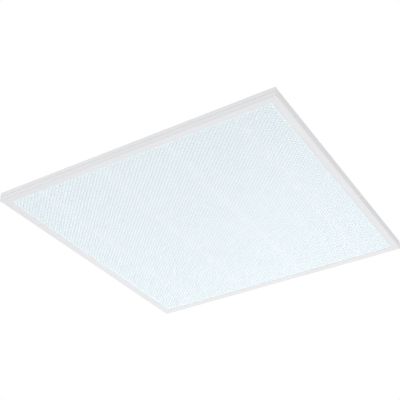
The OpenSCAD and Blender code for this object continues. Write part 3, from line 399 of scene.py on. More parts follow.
rows, columns = gx.shape
rim = rim_of(rows, columns)
count = rows * columns
edge_quads = np.stack([rim, np.roll(rim, -1), np.roll(rim, -1) + count, rim + count], 1)
tray_points = np.concatenate([top.reshape(-1, 3), under.reshape(-1, 3)])
tray_faces = np.concatenate([
    grid_quads(rows, columns), grid_quads(rows, columns, count)[:, ::-1], edge_quads])
tray = make_piece("pressed_tray", tray_points, tray_faces, tray_zinc, "tray_zinc", ["tray"],
                  crease=40)
drill(tray, [(sx * fix_span / 2, sy * (panel / 2 - screw_u)) for sx in (-1, 1) for sy in (-1, 1)],
      fix_hole_r, *flange_cut, crease=40)
drill(tray, [(lead_x, 0.0)], lead_hole_r, *back_cut, crease=40)

# Welded studs: two M4 steel studs on the tray's back, copper coloured at the weld, for the ears
# of the driver case. The thread is a groove that climbs 0.7 mm a turn.
zinc_plate = coated("zinc_plate", ((0.60, 0.62, 0.64), (0.74, 0.75, 0.76)),
                    roughness=0.28, peel=(2500, 0.00001), drift=60, metallic=0.9)
ear_places = np.array([(-74.0, 29.0, 0.0), (62.0, -29.0, 0.0)]) / 1000


def placed(points, faces, places):
    """The same small shape at every place: its points shifted there, its face numbers moved on."""
    places = np.atleast_2d(places)
    n = len(points)
    shifts = np.arange(len(places)) * n
    everywhere = (np.asarray(points)[None] + places[:, None]).reshape(-1, 3)
    if isinstance(faces, np.ndarray):
        return everywhere, (faces[None] + shifts[:, None, None]).reshape(-1, faces.shape[1])
    return everywhere, [[v + int(s) for v in face] for s in shifts for face in faces]


def revolved(profile, sides=32, joined=False):
    """A profile of (r, h) points in millimetres turned about Z: point k of a row lies at the angle
    2 pi k / sides. An end at r = 0 closes in a pole, and a joined profile makes a ring."""
    r, h = (np.asarray(profile, float) / 1000).T
    a = np.linspace(0, 2 * np.pi, sides, endpoint=False)
    r, h = r[:, None], h[:, None]
    points = np.stack(np.broadcast_arrays(r * np.cos(a), r * np.sin(a), h), -1)
    return points.reshape(-1, 3), ring_quads(len(r), sides, joined)


def threaded_stud(radius, low, high, pitch=0.7, depth=0.28, run_out=0.3, chamfer=0.5, sides=24):
    """Stud whose radius falls and rises again by depth once a pitch, shifted by the angle over a
    full turn, with a chamfered tip that closes in a pole. Lengths are in millimetres."""
    z = np.arange(low, high - run_out, pitch / 5)[:, None]
    a = np.linspace(0, 2 * np.pi, sides, endpoint=False)[None]
    turn = (z / pitch - a / (2 * np.pi)) % 1
    r = radius - depth * (1 - np.abs(2 * turn - 1))
    pole, tip = np.zeros((1, sides)), np.full((1, sides), radius - chamfer)
    r = np.concatenate([pole, r, tip, pole])
    z = np.concatenate([[low], z[:, 0], [high, high]])[:, None]
    points = np.stack(np.broadcast_arrays(r * np.cos(a), r * np.sin(a), z), -1)
    return points.reshape(-1, 3) / 1000, ring_quads(len(r), sides)


stud = threaded_stud(radius=1.95, low=18.4, high=26.4)
make_piece("welded_studs", *placed(*stud, ear_places), zinc_plate, "screw_zinc", ["tray_studs"],
           crease=50)

# Hanging rings and keepers: four rings of 2.5 mm zinc-plated wire, each folding in a strip of
# sheet that is wrapped round its straight leg and riveted to the tray's back. A ring's place is
# its hinge's x and y in millimetres and its quarter turns.
ring_steel = coated("ring_steel", ((0.55, 0.57, 0.60), (0.70, 0.71, 0.73)),
                    roughness=0.30, peel=(1800, 0.00002), drift=50, metallic=0.9)
rivet_metal = coated("rivet_metal", ((0.68, 0.69, 0.71), (0.80, 0.81, 0.82)),
                     roughness=0.35, peel=(2200, 0.00001), drift=80, metallic=0.9)
ring_z = 20.53
ring_places = [(-232, -176, 0), (232, -176, 2), (232, 176, 2), (-232, 176, 0)]


def tube(path, radius, sides=16, across=(1, 1, 1), joined=False):
    """Round tube in the path's own lengths: at each of its points a ring square to it. One
    direction of the ring is what is left of across once its part along the path is taken off."""
    path = np.asarray(path, float)
    ahead = np.roll(path, -1, 0) - np.roll(path, 1, 0) if joined else np.gradient(path, axis=0)
    ahead = unit(ahead)
    across = np.broadcast_to(np.asarray(across, float), path.shape)
    side = unit(across - ahead * (across * ahead).sum(-1, keepdims=True))
    other = np.cross(ahead, side)
    a = np.linspace(0, 2 * np.pi, sides, endpoint=False)[None, :, None]
    points = path[:, None] + radius * (side[:, None] * np.cos(a) + other[:, None] * np.sin(a))
    faces = ring_quads(len(path), sides, True) if joined else capped(len(path), sides)
    return points.reshape(-1, 3), faces


def arc(x, y, radius, start, end, steps):
    """Points of a circle's arc between two angles in degrees, both ends included."""
    a = np.radians(np.linspace(start, end, steps))
    return np.stack([x + radius * np.cos(a), y + radius * np.sin(a)], 1)


ring_wire_r, half_ring, leg_bend, arm = 1.25, 11.75, 3.0, 10.0
leg_half = half_ring - leg_bend
loop = np.concatenate([
    [(0, 0)], arc(leg_bend, leg_half, leg_bend, 180, 90, 7), arc(arm, 0, half_ring, 90, -90, 33),
    arc(leg_bend, -leg_half, leg_bend, 270, 180, 7)])
loop = np.c_[loop, np.full(len(loop), ring_z)]
keeper_sheet, keeper_width, keeper_edge = 0.8, 12, 0.12
tab_end, wrap, neck = -13, 1.71, 0.93
barrel = np.concatenate([
    [(tab_end, ring_z - wrap)], arc(0, ring_z, wrap, -90, 180, 25),
    arc(-wrap - neck, ring_z, neck, 0, -90, 7), [(tab_end, ring_z - neck)]])


def strip_of(line, thickness, width):
    """A sheet strip bent along a line in the plane of x and z: half the thickness to each side of
    the line, carried over the width along Y."""
    ahead = unit(np.gradient(line, axis=0))
    out = np.stack([-ahead[:, 1], ahead[:, 0]], 1) * thickness / 2
    x, z = np.concatenate([line + out, (line - out)[::-1]]).T
    y = np.array([-width / 2, width / 2])[:, None]
    points = np.stack(np.broadcast_arrays(x, y, z), -1).reshape(-1, 3)
    return points, capped(2, len(x))


keepers, keeper_faces = [], []
for k, (x, y, quarter) in enumerate(ring_places):
    points, faces = tube(loop, ring_wire_r, joined=True)
    make_piece(f"folding_ring_{k + 1}", (turned(points, quarter) + (x, y, 0)) / 1000, faces,
               ring_steel, "ring_steel", [f"hanging_ring_{k + 1}"], body=f"ring_{k + 1}")
    points, faces = strip_of(barrel, keeper_sheet, keeper_width)
    keeper_faces += [[v + len(points) * k for v in face] for face in faces]
    keepers.append((turned(points, quarter) + (x, y, 0)) / 1000)
rounded(make_piece("wrapped_keepers", np.concatenate(keepers), keeper_faces, ring_steel,
                   "ring_steel", ["ring_keepers"], crease=40), keeper_edge)

# Blind rivet from the top: the pin's hole, domed head, shank, and the bulge behind the sheet
keeper_rivet = [
    (0, 20.4), (0.9, 20.4), (1.0, 20.75), (1.3, 20.9), (2.0, 20.84), (2.7, 20.6), (3.0, 20.3),
    (3.0, 20.0), (1.6, 20.0), (1.6, 17.8), (2.3, 17.6), (2.4, 17.1), (2.1, 16.5), (0, 16.4)]
rivet_in = 8.5
rivet_spots = np.array([(x - rivet_in * (1 - turns), y, 0) for x, y, turns in ring_places]) / 1000
make_piece("keeper_blind_rivets", *placed(*revolved(keeper_rivet, 28), rivet_spots), rivet_metal,
           "rivet_alu", ["keeper_rivets"])

# Reflector film: matt white plastic film that lines the light chamber, folded up along its four
# sides and slotted for the strips. It is held between the tray and the strips.
film_white = coated("film_white", ((0.93, 0.93, 0.93), (0.96, 0.96, 0.96)),
                    roughness=0.7, peel=(700, 0.00003))


def repaint(nodes, material):
    """Gives CAD nodes a finish of their own in every material slot."""
    for node in nodes:
        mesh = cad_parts[node].data
        mesh.materials.clear()
        mesh.materials.append(material)


repaint(["reflector_film"], film_white)

# Light strips: four aluminium boards with white solder mask, each with 24 light chips in white
# frames, blind-riveted through the tray. Wires plug into a small connector at each end.
strip_lines = (-0.2115, -0.0705, 0.0705, 0.2115)
strip_pitch = 0.141
mask_white = coated("mask_white", ((0.80, 0.80, 0.78), (0.86, 0.86, 0.84)),
                    roughness=0.35, peel=(1200, 0.00001), drift=30)
frame_white = coated("frame_white", ((0.84, 0.84, 0.82), (0.88, 0.88, 0.86)),
                     roughness=0.4, peel=(3000, 0.00001), drift=300)
phosphor = coated("phosphor", ((0.78, 0.62, 0.18), (0.86, 0.72, 0.30)),
                  roughness=0.3, peel=(2500, 0.00002), drift=900)
for k in (1, 2, 3, 4):
    softened(f"strip_board_{k}", f"led_strip_{k}", 0.15, mask_white)


def light_chip(length, width, low, high):
    """Open box upside down: square loops from the board down to the rim, in over the rim, and up to
    the phosphor's face. The last face is the phosphor."""
    loops = [(0, high), (0, low + 0.1), (0.08, low), (0.35, low), (0.5, low + 0.22)]
    corners = np.array([(-1, -1), (1, -1), (1, 1), (-1, 1)]) / 2
    points = [np.c_[corners * (length - 2 * inset, width - 2 * inset), np.full(4, z)]
              for inset, z in loops]
    return np.concatenate(points) / 1000, capped(len(loops), 4)


chip_count, chip_pitch = 24, 0.022
chip_spots = np.array([((i - (chip_count - 1) / 2) * chip_pitch, y, 0)
                       for y in strip_lines for i in range(chip_count)])
chip_points, chip_faces = light_chip(length=3.5, width=2.8, low=16.0, high=16.8)
chip_paint = np.tile(np.arange(len(chip_faces)) == len(chip_faces) - 1, len(chip_spots))
make_piece("light_chips", *placed(chip_points, chip_faces, chip_spots), [frame_white, phosphor],
           "light_chip", ["led_chips"], paint=chip_paint)

strip_rivet = [
    (0, 16.5), (0.9, 16.5), (1.0, 16.15), (1.3, 16.0), (2.0, 16.05), (2.7, 16.3), (3.0, 16.55),
    (3.0, 16.8), (1.6, 16.8), (1.6, 18.4), (2.4, 18.4), (2.5, 18.8), (2.3, 19.6), (1.5, 20.0),
    (0.8, 19.9), (0.7, 19.3), (0, 19.3)]
rivet_pitch = 0.110
rivet_at = np.array([(i * rivet_pitch, y, 0) for y in strip_lines for i in range(-2, 3)])
make_piece("strip_blind_rivets", *placed(*revolved(strip_rivet, 24), rivet_at), rivet_metal,
           "rivet_alu", ["strip_rivets"])
connector_white = coated("connector_white", ((0.83, 0.83, 0.80), (0.88, 0.88, 0.85)),
                         roughness=0.32, peel=(1500, 0.00001), drift=50)
softened("wire_connectors", "strip_connectors", 0.2, connector_white)

# Wires behind the film: three link wires from strip to strip, and a red and a black feed wire
# from the lead's end to the outer strips. Stranded copper in soft insulation, 1.6 mm thick.
wire_half = 0.8
start_x, mouth_x, wire_z = 261.9, 266.1, 15.3
near_lane, far_lane = (273.49, 14.6), (276.65, 11.4)


def insulation(name, tones):
    """Extruded wire cover: two close tones, a soft sheen, faint waves from the strands inside."""
    return coated(name, tones, roughness=0.45, peel=(900, 0.00003), drift=120)


wire_white = insulation("wire_white", ((0.78, 0.78, 0.78), (0.85, 0.85, 0.84)))
wire_red = insulation("wire_red", ((0.50, 0.02, 0.015), (0.62, 0.04, 0.03)))
wire_black = insulation("wire_black", ((0.012, 0.012, 0.012), (0.025, 0.025, 0.025)))
for k, side, (lane_x, lane_z) in ((1, 1, near_lane), (2, -1, far_lane), (3, 1, near_lane)):
    y0, y1 = 1000 * strip_lines[k - 1], 1000 * strip_lines[k]
    path = [(start_x, y0, wire_z), (mouth_x, y0, wire_z), (lane_x, y0, lane_z),
            (lane_x, y1, lane_z), (mouth_x, y1, wire_z), (start_x, y1, wire_z)]
    route = filleted(np.array(path) * (side, 1, 1), radii=3, steps=6, closed=False)
    points, faces = tube(route, wire_half, sides=12, across=(0, 0, 1))
    make_piece(f"strip_link_{k}", points / 1000, faces, wire_white, "wire_white",
               [f"link_wire_{k}"])
lead_end, lead_end_z, feed_drop_z, feed_off = 1000 * lead_x, 16.4, 15.0, 1.1
feeds = (("plus", "red", -1, wire_red), ("minus", "black", 1, wire_black))
for name, colour, side, finish in feeds:
    lane_x, lane_z = near_lane
    y0, y1 = side * feed_off, side * 1000 * strip_lines[-1]
    path = [(lead_end, y0, lead_end_z), (lead_end, y0, feed_drop_z), (-lane_x, y0, lane_z),
            (-lane_x, y1, lane_z), (-mouth_x, y1, wire_z), (-start_x, y1, wire_z)]
    route = filleted(path, radii=1, steps=6, closed=False)
    points, faces = tube(route, wire_half, sides=12, across=(-1, side, 1))
    make_piece(f"feed_{name}", points / 1000, faces, finish, f"wire_{colour}",
               [f"feed_wire_{name}"])

# Foam pads: sixteen blocks of closed-cell foam between the shelves and the diffuser's edge. They
# press the diffuser on the lip, and bulge a little between the two.
foam = coated("foam", ((0.72, 0.72, 0.70), (0.82, 0.82, 0.80)),
              roughness=0.9, peel=(600, 0.0002), drift=200)
pad_length, pad_width, pad_low, pad_high = 50.0, 8.0, 2.9, 9.0
pad_places = (-152.5, -57.5, 57.5, 152.5)


def foam_pad(length, width, low, high, corner=1.2, bulge=0.45):
    """Section carried along X: a rectangle with round corners whose sides swell by a parabola in
    height. At either end the section draws in along a quarter circle of the corner's radius."""
    w, h = width / 2 - bulge, (high - low) / 2
    section = filleted([(-w, -h), (w, -h), (w, h), (-w, h)], corner, 4)
    section[:, 0] += np.sign(section[:, 0]) * bulge * (1 - (section[:, 1] / h) ** 2)
    turn = np.linspace(0, np.pi / 2, 6)
    x = length / 2 - corner + corner * np.sin(turn)
    shrink = corner * (1 - np.cos(turn))
    x, shrink = np.concatenate([-x[::-1], x]), np.concatenate([shrink[::-1], shrink])
    grid = section[None] * (1 - shrink[:, None, None] / np.array([w, h]))
    along = np.broadcast_to(x[:, None], grid.shape[:2])
    points = np.stack([along, grid[..., 0], grid[..., 1] + (low + high) / 2], -1)
    return points.reshape(-1, 3), capped(len(x), len(section))


pad_points, pad_faces = [], []
one_pad, one_pad_faces = foam_pad(pad_length, pad_width, pad_low, pad_high)
for quarter in range(4):
    for t in pad_places:
        pad_faces += [[v + len(one_pad) * len(pad_points) for v in face] for face in one_pad_faces]
        pad_points.append(turned(one_pad + (t, 1000 * (screw_u - panel / 2), 0), quarter) / 1000)
pads = make_piece("foam_blocks", np.concatenate(pad_points), pad_faces, foam, "foam",
                  ["foam_pads"], crease=60)

# Diffuser: clear styrene sheet, pale blue, its lower face moulded in small four-sided prisms that
# stand corner to corner at 45 degrees to the frame. Its edge lies on the rails' lips.
diffuser_half, field_half = 0.295, 0.2823
diffuser_low, diffuser_high = 0.0014, 0.0029
prism_deep = 0.0010
prism_cells = 133


def prism_sheet():
    """Points of a square grid whose even points are prism tips and odd points are valley corners,
    split along the valley lines. The two outermost grid lines on each side stay at the tips'
    height and make a flat margin for the lip, and four sides and a flat back close the sheet."""
    field = np.linspace(-field_half, field_half, prism_cells + 1)
    line = np.concatenate([[-diffuser_half], field, [diffuser_half]])
    n = len(line)
    i, j = np.meshgrid(np.arange(n), np.arange(n), indexing="ij")
    inside = (np.minimum(i, j) > 1) & (np.maximum(i, j) < n - 2)
    z = diffuser_low + prism_deep * (inside & ((i + j) % 2 == 1))
    points = np.stack([line[i], line[j], z], -1).reshape(-1, 3)
    a = (np.arange(n - 1)[:, None] * n + np.arange(n - 1)).ravel()
    b, c, d = a + n, a + n + 1, a + 1
    even = ((i + j) % 2 == 0)[:-1, :-1].ravel()
    first = np.where(even[:, None], np.stack([a, b, d], 1), np.stack([a, b, c], 1))
    second = np.where(even[:, None], np.stack([b, c, d], 1), np.stack([a, c, d], 1))
    grid = np.arange(n * n).reshape(n, n)
    sides = [grid[:, 0], grid[-1, :], grid[::-1, -1], grid[0, ::-1]]
    h = diffuser_half
    back = np.array([(-h, -h), (h, -h), (h, h), (-h, h)])
    points = np.concatenate([points, np.c_[back, np.full(4, diffuser_high)]])
    k = n * n
    walls = [side.tolist() + [k + (s + 1) % 4, k + s] for s, side in enumerate(sides)]
    return points, np.concatenate([first, second]).tolist() + walls + [[k, k + 1, k + 2, k + 3]]


def reckon(tree, operation, first, second):
    """Socket with a node's result for a socket and a second socket or a number."""
    node = tree.nodes.new("ShaderNodeMath")
    node.operation = operation
    tree.links.new(first, node.inputs[0])
    if isinstance(second, (int, float)):
        node.inputs[1].default_value = second
    else:
        tree.links.new(second, node.inputs[1])
    return node.outputs[0]


def prism_plastic():
    """Clear sheet that scatters most of the light and lets a little straight through, under a
    soft gloss. Its tone goes by height: the sheet's own pale blue from the prisms' tips to 0.6 of
    their depth, then painted darker and bluer to the valleys as shade in the recesses between the
    prisms. It is painted a touch paler along each strip's line, a painted glow for the strip's
    light seen through the sheet, and towards the lip a darker, bluer tone is painted shade of the
    frame."""
    material = bpy.data.materials.new("prism_plastic")
    material.use_nodes = True
    tree = material.node_tree
    nodes, links = tree.nodes, tree.links
    shader = nodes["Principled BSDF"]
    place = nodes.new("ShaderNodeTexCoord")
    split = nodes.new("ShaderNodeSeparateXYZ")
    links.new(place.outputs["Object"], split.inputs["Vector"])
    height = nodes.new("ShaderNodeMapRange")
    height.inputs["From Min"].default_value = diffuser_low
    height.inputs["From Max"].default_value = diffuser_low + prism_deep
    links.new(split.outputs["Z"], height.inputs["Value"])
    # The sheet's own pale blue at the tips, painted darker and bluer into the valleys as shade in
    # the recesses
    ramp = nodes.new("ShaderNodeValToRGB")
    ramp.color_ramp.elements[0].color = (0.93, 0.953, 0.96, 1)
    ramp.color_ramp.elements[1].color = (0.62, 0.788, 0.855, 1)
    ramp.color_ramp.elements.new(0.6).color = (0.92, 0.953, 0.963, 1)
    links.new(height.outputs["Result"], ramp.inputs["Fac"])

    def over(base, measure, near, far, start, end, tone):
        """Lays a tone over the base colour: its share goes from start to end as the measure goes
        from near to far."""
        share = nodes.new("ShaderNodeMapRange")
        share.interpolation_type = "SMOOTHSTEP"
        for socket, value in (("From Min", near), ("From Max", far),
                              ("To Min", start), ("To Max", end)):
            share.inputs[socket].default_value = value
        links.new(measure, share.inputs["Value"])
        mixed = nodes.new("ShaderNodeMix")
        mixed.data_type = "RGBA"
        mixed.inputs["B"].default_value = (*tone, 1)
        links.new(share.outputs["Result"], mixed.inputs["Factor"])
        links.new(base, mixed.inputs["A"])
        return mixed.outputs["Result"]

    # Painted glow: a paler band along each strip's line stands in for the strip's light seen
    # through the sheet
    painted_glow_distance = split.outputs["Y"]
    for operation, value in (("ABSOLUTE", 0), ("SUBTRACT", strip_pitch), ("ABSOLUTE", 0),
                             ("SUBTRACT", strip_pitch / 2), ("ABSOLUTE", 0)):
        painted_glow_distance = reckon(tree, operation, painted_glow_distance, value)
    colour = over(ramp.outputs["Color"], painted_glow_distance, near=0.002, far=0.016, start=0.15, end=0.0,
                  tone=(0.95, 0.983, 0.99))
    # Painted shade: towards the lip the tone goes over to a darker, bluer one, the frame's shadow
    # on the sheet
    out_x, out_y = (reckon(tree, "ABSOLUTE", split.outputs[axis], 0) for axis in "XY")
    border = reckon(tree, "MAXIMUM", out_x, out_y)
    colour = over(colour, border, near=0.2765, far=0.2790, start=0.0, end=1.0,
                  tone=(0.80, 0.90, 0.94))
    links.new(colour, shader.inputs["Base Color"])
    shader.inputs["Roughness"].default_value = 0.30
    shader.inputs["IOR"].default_value = 1.5
    shader.inputs["Transmission Weight"].default_value = 0.07
    shader.inputs["Coat Weight"].default_value = 0.5
    shader.inputs["Coat Roughness"].default_value = 0.25
    return material


make_piece("prism_diffuser", *prism_sheet(), prism_plastic(), "prism_sheet", ["diffuser"], crease=5)

# Tray screws: twenty cross-head screws of zinc-plated steel that clamp the tray's flange to the
# shelves. Those nearest the corners go on into the cast keys.
screw_pockets = [-273.5, -190.0, 0.0, 190.0, 273.5]


def cross_screw(head_r, head_h, shank_r, shank_l, sides=48):
    """Screw standing on z = 0 in millimetres. The head is a flat dome, z = h (1 - 0.3 (r/R)^4),
    less a cross whose arms are 0.3 R wide and fall away towards their ends; then rim, seat and
    shank."""
    r = np.linspace(0, 1, 12)[:, None] * head_r
    a = np.linspace(0, 2 * np.pi, sides, endpoint=False)[None]
    x, y = r * np.cos(a), r * np.sin(a)
    narrow = np.minimum(np.abs(x), np.abs(y))
    arm_depth = step((0.66 * head_r - r) / (0.22 * head_r))
    cross = step((0.17 * head_r - narrow) / (0.05 * head_r)) * arm_depth
    z = head_h * (1 - 0.3 * (r / head_r) ** 4) - 0.55 * head_h * cross
    lower = np.array([(head_r, 0.12), (head_r - 0.1, 0), (shank_r, 0),
                      (shank_r, -shank_l + shank_r), (0, -shank_l)])
    spread = (len(lower), sides)
    r = np.concatenate([np.broadcast_to(r, z.shape), np.broadcast_to(lower[:, :1], spread)])
    z = np.concatenate([z, np.broadcast_to(lower[:, 1:], spread)])
    points = np.stack([r * np.cos(a), r * np.sin(a), z], -1).reshape(-1, 3) / 1000
    return points, ring_quads(len(r), sides)


tray_screw = cross_screw(head_r=3.3, head_h=1.8, shank_r=1.6, shank_l=6.0)
screw_row = [(t / 1000, screw_u - panel / 2, flange_z) for t in screw_pockets]
tray_screw_spots = np.concatenate([turned(screw_row, quarter) for quarter in range(4)])
make_piece("flange_screws", *placed(*tray_screw, tray_screw_spots), zinc_plate, "screw_zinc",
           ["tray_screws"], crease=40)

# Grommet and leads: a black rubber grommet in the tray, a white sheathed lead from it to the
# connector's socket, and a second lead from the plug into the driver case, through a soft bush.
# Clips glued to the tray hold both. The connector's latch hooks behind a bar.
rubber = coated("rubber", ((0.018, 0.018, 0.02), (0.035, 0.035, 0.037)),
                roughness=0.6, peel=(700, 0.00004), drift=80)
sheath = coated("sheath", ((0.82, 0.82, 0.80), (0.88, 0.88, 0.86)),
                roughness=0.42, peel=(500, 0.00004), drift=60)
lead_r, lead_bend, lead_z = 2.2, 8, 22.5
grommet = filleted([
    (2.25, 16.6), (5.4, 16.6), (5.4, 17.8), (3.95, 17.8), (3.95, 18.4), (6.0, 18.4), (5.2, 19.6),
    (2.25, 19.6)], [0.4, 0.4, 0.3, 0.1, 0.1, 0.3, 0.5, 0.4], 4)
points, faces = revolved(grommet, 40, joined=True)
make_piece("tray_grommet", points + (lead_x, 0, 0), faces, rubber, "rubber_black",
           ["lead_grommet"], crease=60)
for name, node, path in (
        ("lead_to_panel", "panel_lead",
         [(-158, 0, lead_z), (-236, 0, lead_z), (-251, 0, 28), (lead_end, 0, 28),
          (lead_end, 0, lead_end_z)]),
        ("lead_from_driver", "driver_lead",
         [(-80, 0, 27), (-98, 0, 27), (-110, 0, lead_z), (-130, 0, lead_z)])):
    route = filleted(path, lead_bend, steps=10, closed=False)
    points, faces = tube(route, lead_r, sides=20, across=(0, 1, 0))
    make_piece(name, points / 1000, faces, sheath, "lead_white", [node])
for name, node in (("latched_plug", "lead_plug"), ("barred_socket", "lead_socket"),
                   ("glued_clips", "lead_clips")):
    softened(name, node, 0.3, connector_white)

# Driver case: two shells moulded in white plastic with a fine grain, the lower one bolted to the
# studs by its ears, the upper one closed by four sunk screws.
case_white = coated("case_white", ((0.80, 0.80, 0.775), (0.845, 0.845, 0.82)),
                    roughness=0.5, peel=(1100, 0.00005), drift=12)
softened("case_base", "driver_base", 0.4, case_white)
softened("case_cover", "driver_cover", 0.25, case_white)
case_screw_spots = np.array([(x, y, 42.2) for x in (-80, 46) for y in (-17.3, 17.3)]) / 1000
case_screw = cross_screw(head_r=2.6, head_h=1.8, shank_r=1.3, shank_l=15.0)
make_piece("closing_screws", *placed(*case_screw, case_screw_spots), zinc_plate, "screw_zinc",
           ["case_screws"], crease=40)
softened("ear_nuts", "driver_nuts", 0.3, zinc_plate)
# The bush is turned about Z and then laid along X
bush_at = (-0.088, 0, 0.027)
bush = filleted([
    (2.25, -6.0), (3.1, -6.0), (3.5, -4.6), (3.2, -4.4), (3.9, -3.1), (3.6, -2.9), (4.9, -0.9),
    (4.9, 0.0), (3.95, 0.0), (3.95, 1.8), (4.9, 1.8), (4.9, 2.7), (2.25, 2.7)],
    [0.2, 0.3, 0.15, 0.1, 0.15, 0.1, 0.3, 0.2, 0.05, 0.05, 0.2, 0.3, 0.2], 3)
points, faces = revolved(bush, 40, joined=True)
points = points[:, [2, 1, 0]] * (1, 1, -1) + bush_at
make_piece("lead_strain_bush", points, faces, rubber, "rubber_black", ["lead_bush"], crease=50)

# Circuit board: green glass-fibre laminate on four posts, with the converter's larger parts in a
# row: output capacitors, a choke, the transistor on its cooling plate, the transformer, the mains
# filter capacitor and the main capacitor.
board_top = 24.2
can_height, can_sides, first_bare_row = 16.0, 36, 10
choke_at = (-42.24, -8, 32.4)
board_green = coated("board_green", ((0.02, 0.12, 0.05), (0.035, 0.20, 0.085)),
                     roughness=0.3, peel=(300, 0.00003), drift=160)
ferrite = coated("ferrite", ((0.03, 0.03, 0.033), (0.06, 0.06, 0.063)),
                 roughness=0.55, peel=(1400, 0.00003), drift=90)
tape_yellow = coated("tape_yellow", ((0.62, 0.42, 0.03), (0.74, 0.54, 0.07)),
                     roughness=0.3, peel=(400, 0.00004), drift=40, metallic=0, stretch=(1, 1, 6))
film_yellow = coated("film_yellow", ((0.55, 0.40, 0.06), (0.62, 0.47, 0.09)),
                     roughness=0.3, peel=(900, 0.00002), drift=50)
sleeve = coated("sleeve", ((0.012, 0.016, 0.05), (0.02, 0.026, 0.075)),
                roughness=0.28, peel=(600, 0.00003), drift=60)
can_metal = coated("can_metal", ((0.70, 0.71, 0.72), (0.80, 0.80, 0.81)),
                   roughness=0.3, peel=(2500, 0.00001), drift=150, metallic=0.9)
mill_metal = coated("mill_metal", ((0.62, 0.63, 0.65), (0.74, 0.75, 0.76)),
                    roughness=0.35, peel=(900, 0.00002), drift=60, metallic=0.9, stretch=(1, 1, 12))
epoxy = coated("epoxy", ((0.015, 0.015, 0.016), (0.03, 0.03, 0.031)),
               roughness=0.5, peel=(2500, 0.00002), drift=120)
enamel = coated("enamel", ((0.50, 0.19, 0.06), (0.66, 0.29, 0.10)),
                roughness=0.25, peel=(2000, 0.00001), drift=200, metallic=0.85)
softened("laminate", "driver_board", 0.15, board_green)
softened("ferrite_core", "transformer_core", 0.5, ferrite)
softened("taped_winding", "transformer_winding", 0.9, tape_yellow)
softened("mains_capacitor", "filter_capacitor", 0.6, film_yellow)
softened("cooling_plate", "heat_sink", 0.2, mill_metal)
softened("power_transistor", "transistor", 0.2, epoxy)


def can(r, height):
    """Profile of an electrolytic capacitor from the board up: rounded foot, rolled groove, sleeve
    turned in over the rim, and the bare can's sunk top."""
    return [(0, 0), (r - 0.4, 0), (r, 0.4), (r, 1.6), (r - 0.35, 2.0), (r - 0.35, 2.3), (r, 2.7),
            (r, height - 0.7), (r - 0.25, height - 0.2), (r - 0.8, height), (r - 1.5, height),
            (r - 1.8, height - 0.3), (0, height - 0.3)]


def capacitors(name, node, places, radius):
    """Cans at the given places on the board, the sleeve in one finish, the bare top in another."""
    profile = can(radius, can_height)
    points, faces = revolved(profile, can_sides)
    bare = np.repeat(np.arange(len(profile) - 1) >= first_bare_row, can_sides)
    spots = np.array([(x, y, board_top) for x, y in places]) / 1000
    make_piece(name, *placed(points, faces, spots), [sleeve, can_metal], "capacitor_sleeve", [node],
               paint=np.tile(bare, len(places)))


capacitors("main_capacitor", "bulk_capacitor", [(26.52, 9)], 8.0)
capacitors("output_cans", "output_capacitors", [(-63.22, -8), (-63.22, 8)], 6.3)


def wound_choke(ring, core, wire, turns, per_turn=14):
    """A ferrite ring on edge and its winding. The wire's middle goes round the core's section once
    a turn: its angle there is the number of turns times its angle round the ring."""
    a = np.linspace(0, 2 * np.pi, turns * per_turn, endpoint=False)
    b = turns * a
    out = np.stack([np.cos(a), np.zeros_like(a), np.sin(a)], 1)
    away = out * np.cos(b)[:, None] + np.array([0.0, 1.0, 0.0]) * np.sin(b)[:, None]
    coil, coil_faces = tube(ring * out + (core + wire) * away, wire, 6, away, joined=True)
    body, body_faces = tube(ring * out[::per_turn], core, 16, (0, 1, 0), joined=True)
    faces = np.concatenate([coil_faces, body_faces + len(coil)])
    return np.concatenate([coil, body]), faces, len(coil_faces)


points, faces, coil_count = wound_choke(ring=5.4, core=1.85, wire=0.42, turns=26)
make_piece("wound_choke", (points + choke_at) / 1000, faces, [enamel, ferrite], "copper_wire",
           ["choke"], paint=np.arange(len(faces)) >= coil_count, crease=60)

# Mains terminal: grey moulded block for two wires, a sprung steel leaf in each chamber, and an
# orange button over each leaf that slides down and lets go of the wire.
terminal_grey = coated("terminal_grey", ((0.17, 0.19, 0.205), (0.21, 0.23, 0.245)),
                       roughness=0.45, peel=(1500, 0.00003), drift=60)
spring_steel = coated("spring_steel", ((0.62, 0.63, 0.65), (0.76, 0.77, 0.78)),
                      roughness=0.22, peel=(2500, 0.00001), drift=200, metallic=0.95)
button_orange = coated("button_orange", ((0.76, 0.19, 0.015), (0.84, 0.25, 0.03)),
                       roughness=0.4, peel=(1500, 0.00002), drift=90)
softened("terminal_block", "mains_terminal", 0.25, terminal_grey)
repaint(["clamp_springs"], spring_steel)
for pole in ("live", "neutral"):
    softened(f"{pole}_release", f"button_{pole}", 0.3, button_orange,
             body=f"{pole}_button")

# Cable clamp and hinged cover: a saddle bar that two screws press on the mains cable, and the
# cover of the wiring compartment, which swings up on pins moulded in one with it.
softened("clamp_bar", "cable_clamp", 0.4, case_white)
clamp_screw_spots = np.array([(78.0, -9.5, 32.0), (78.0, 9.5, 32.0)]) / 1000
clamp_screw = cross_screw(head_r=2.5, head_h=1.5, shank_r=1.1, shank_l=8.0)
make_piece("saddle_screws", *placed(*clamp_screw, clamp_screw_spots), zinc_plate, "screw_zinc",
           ["clamp_screws"], crease=40)
softened("hinged_cover", "terminal_cover", 0.4, case_white, body="cover")

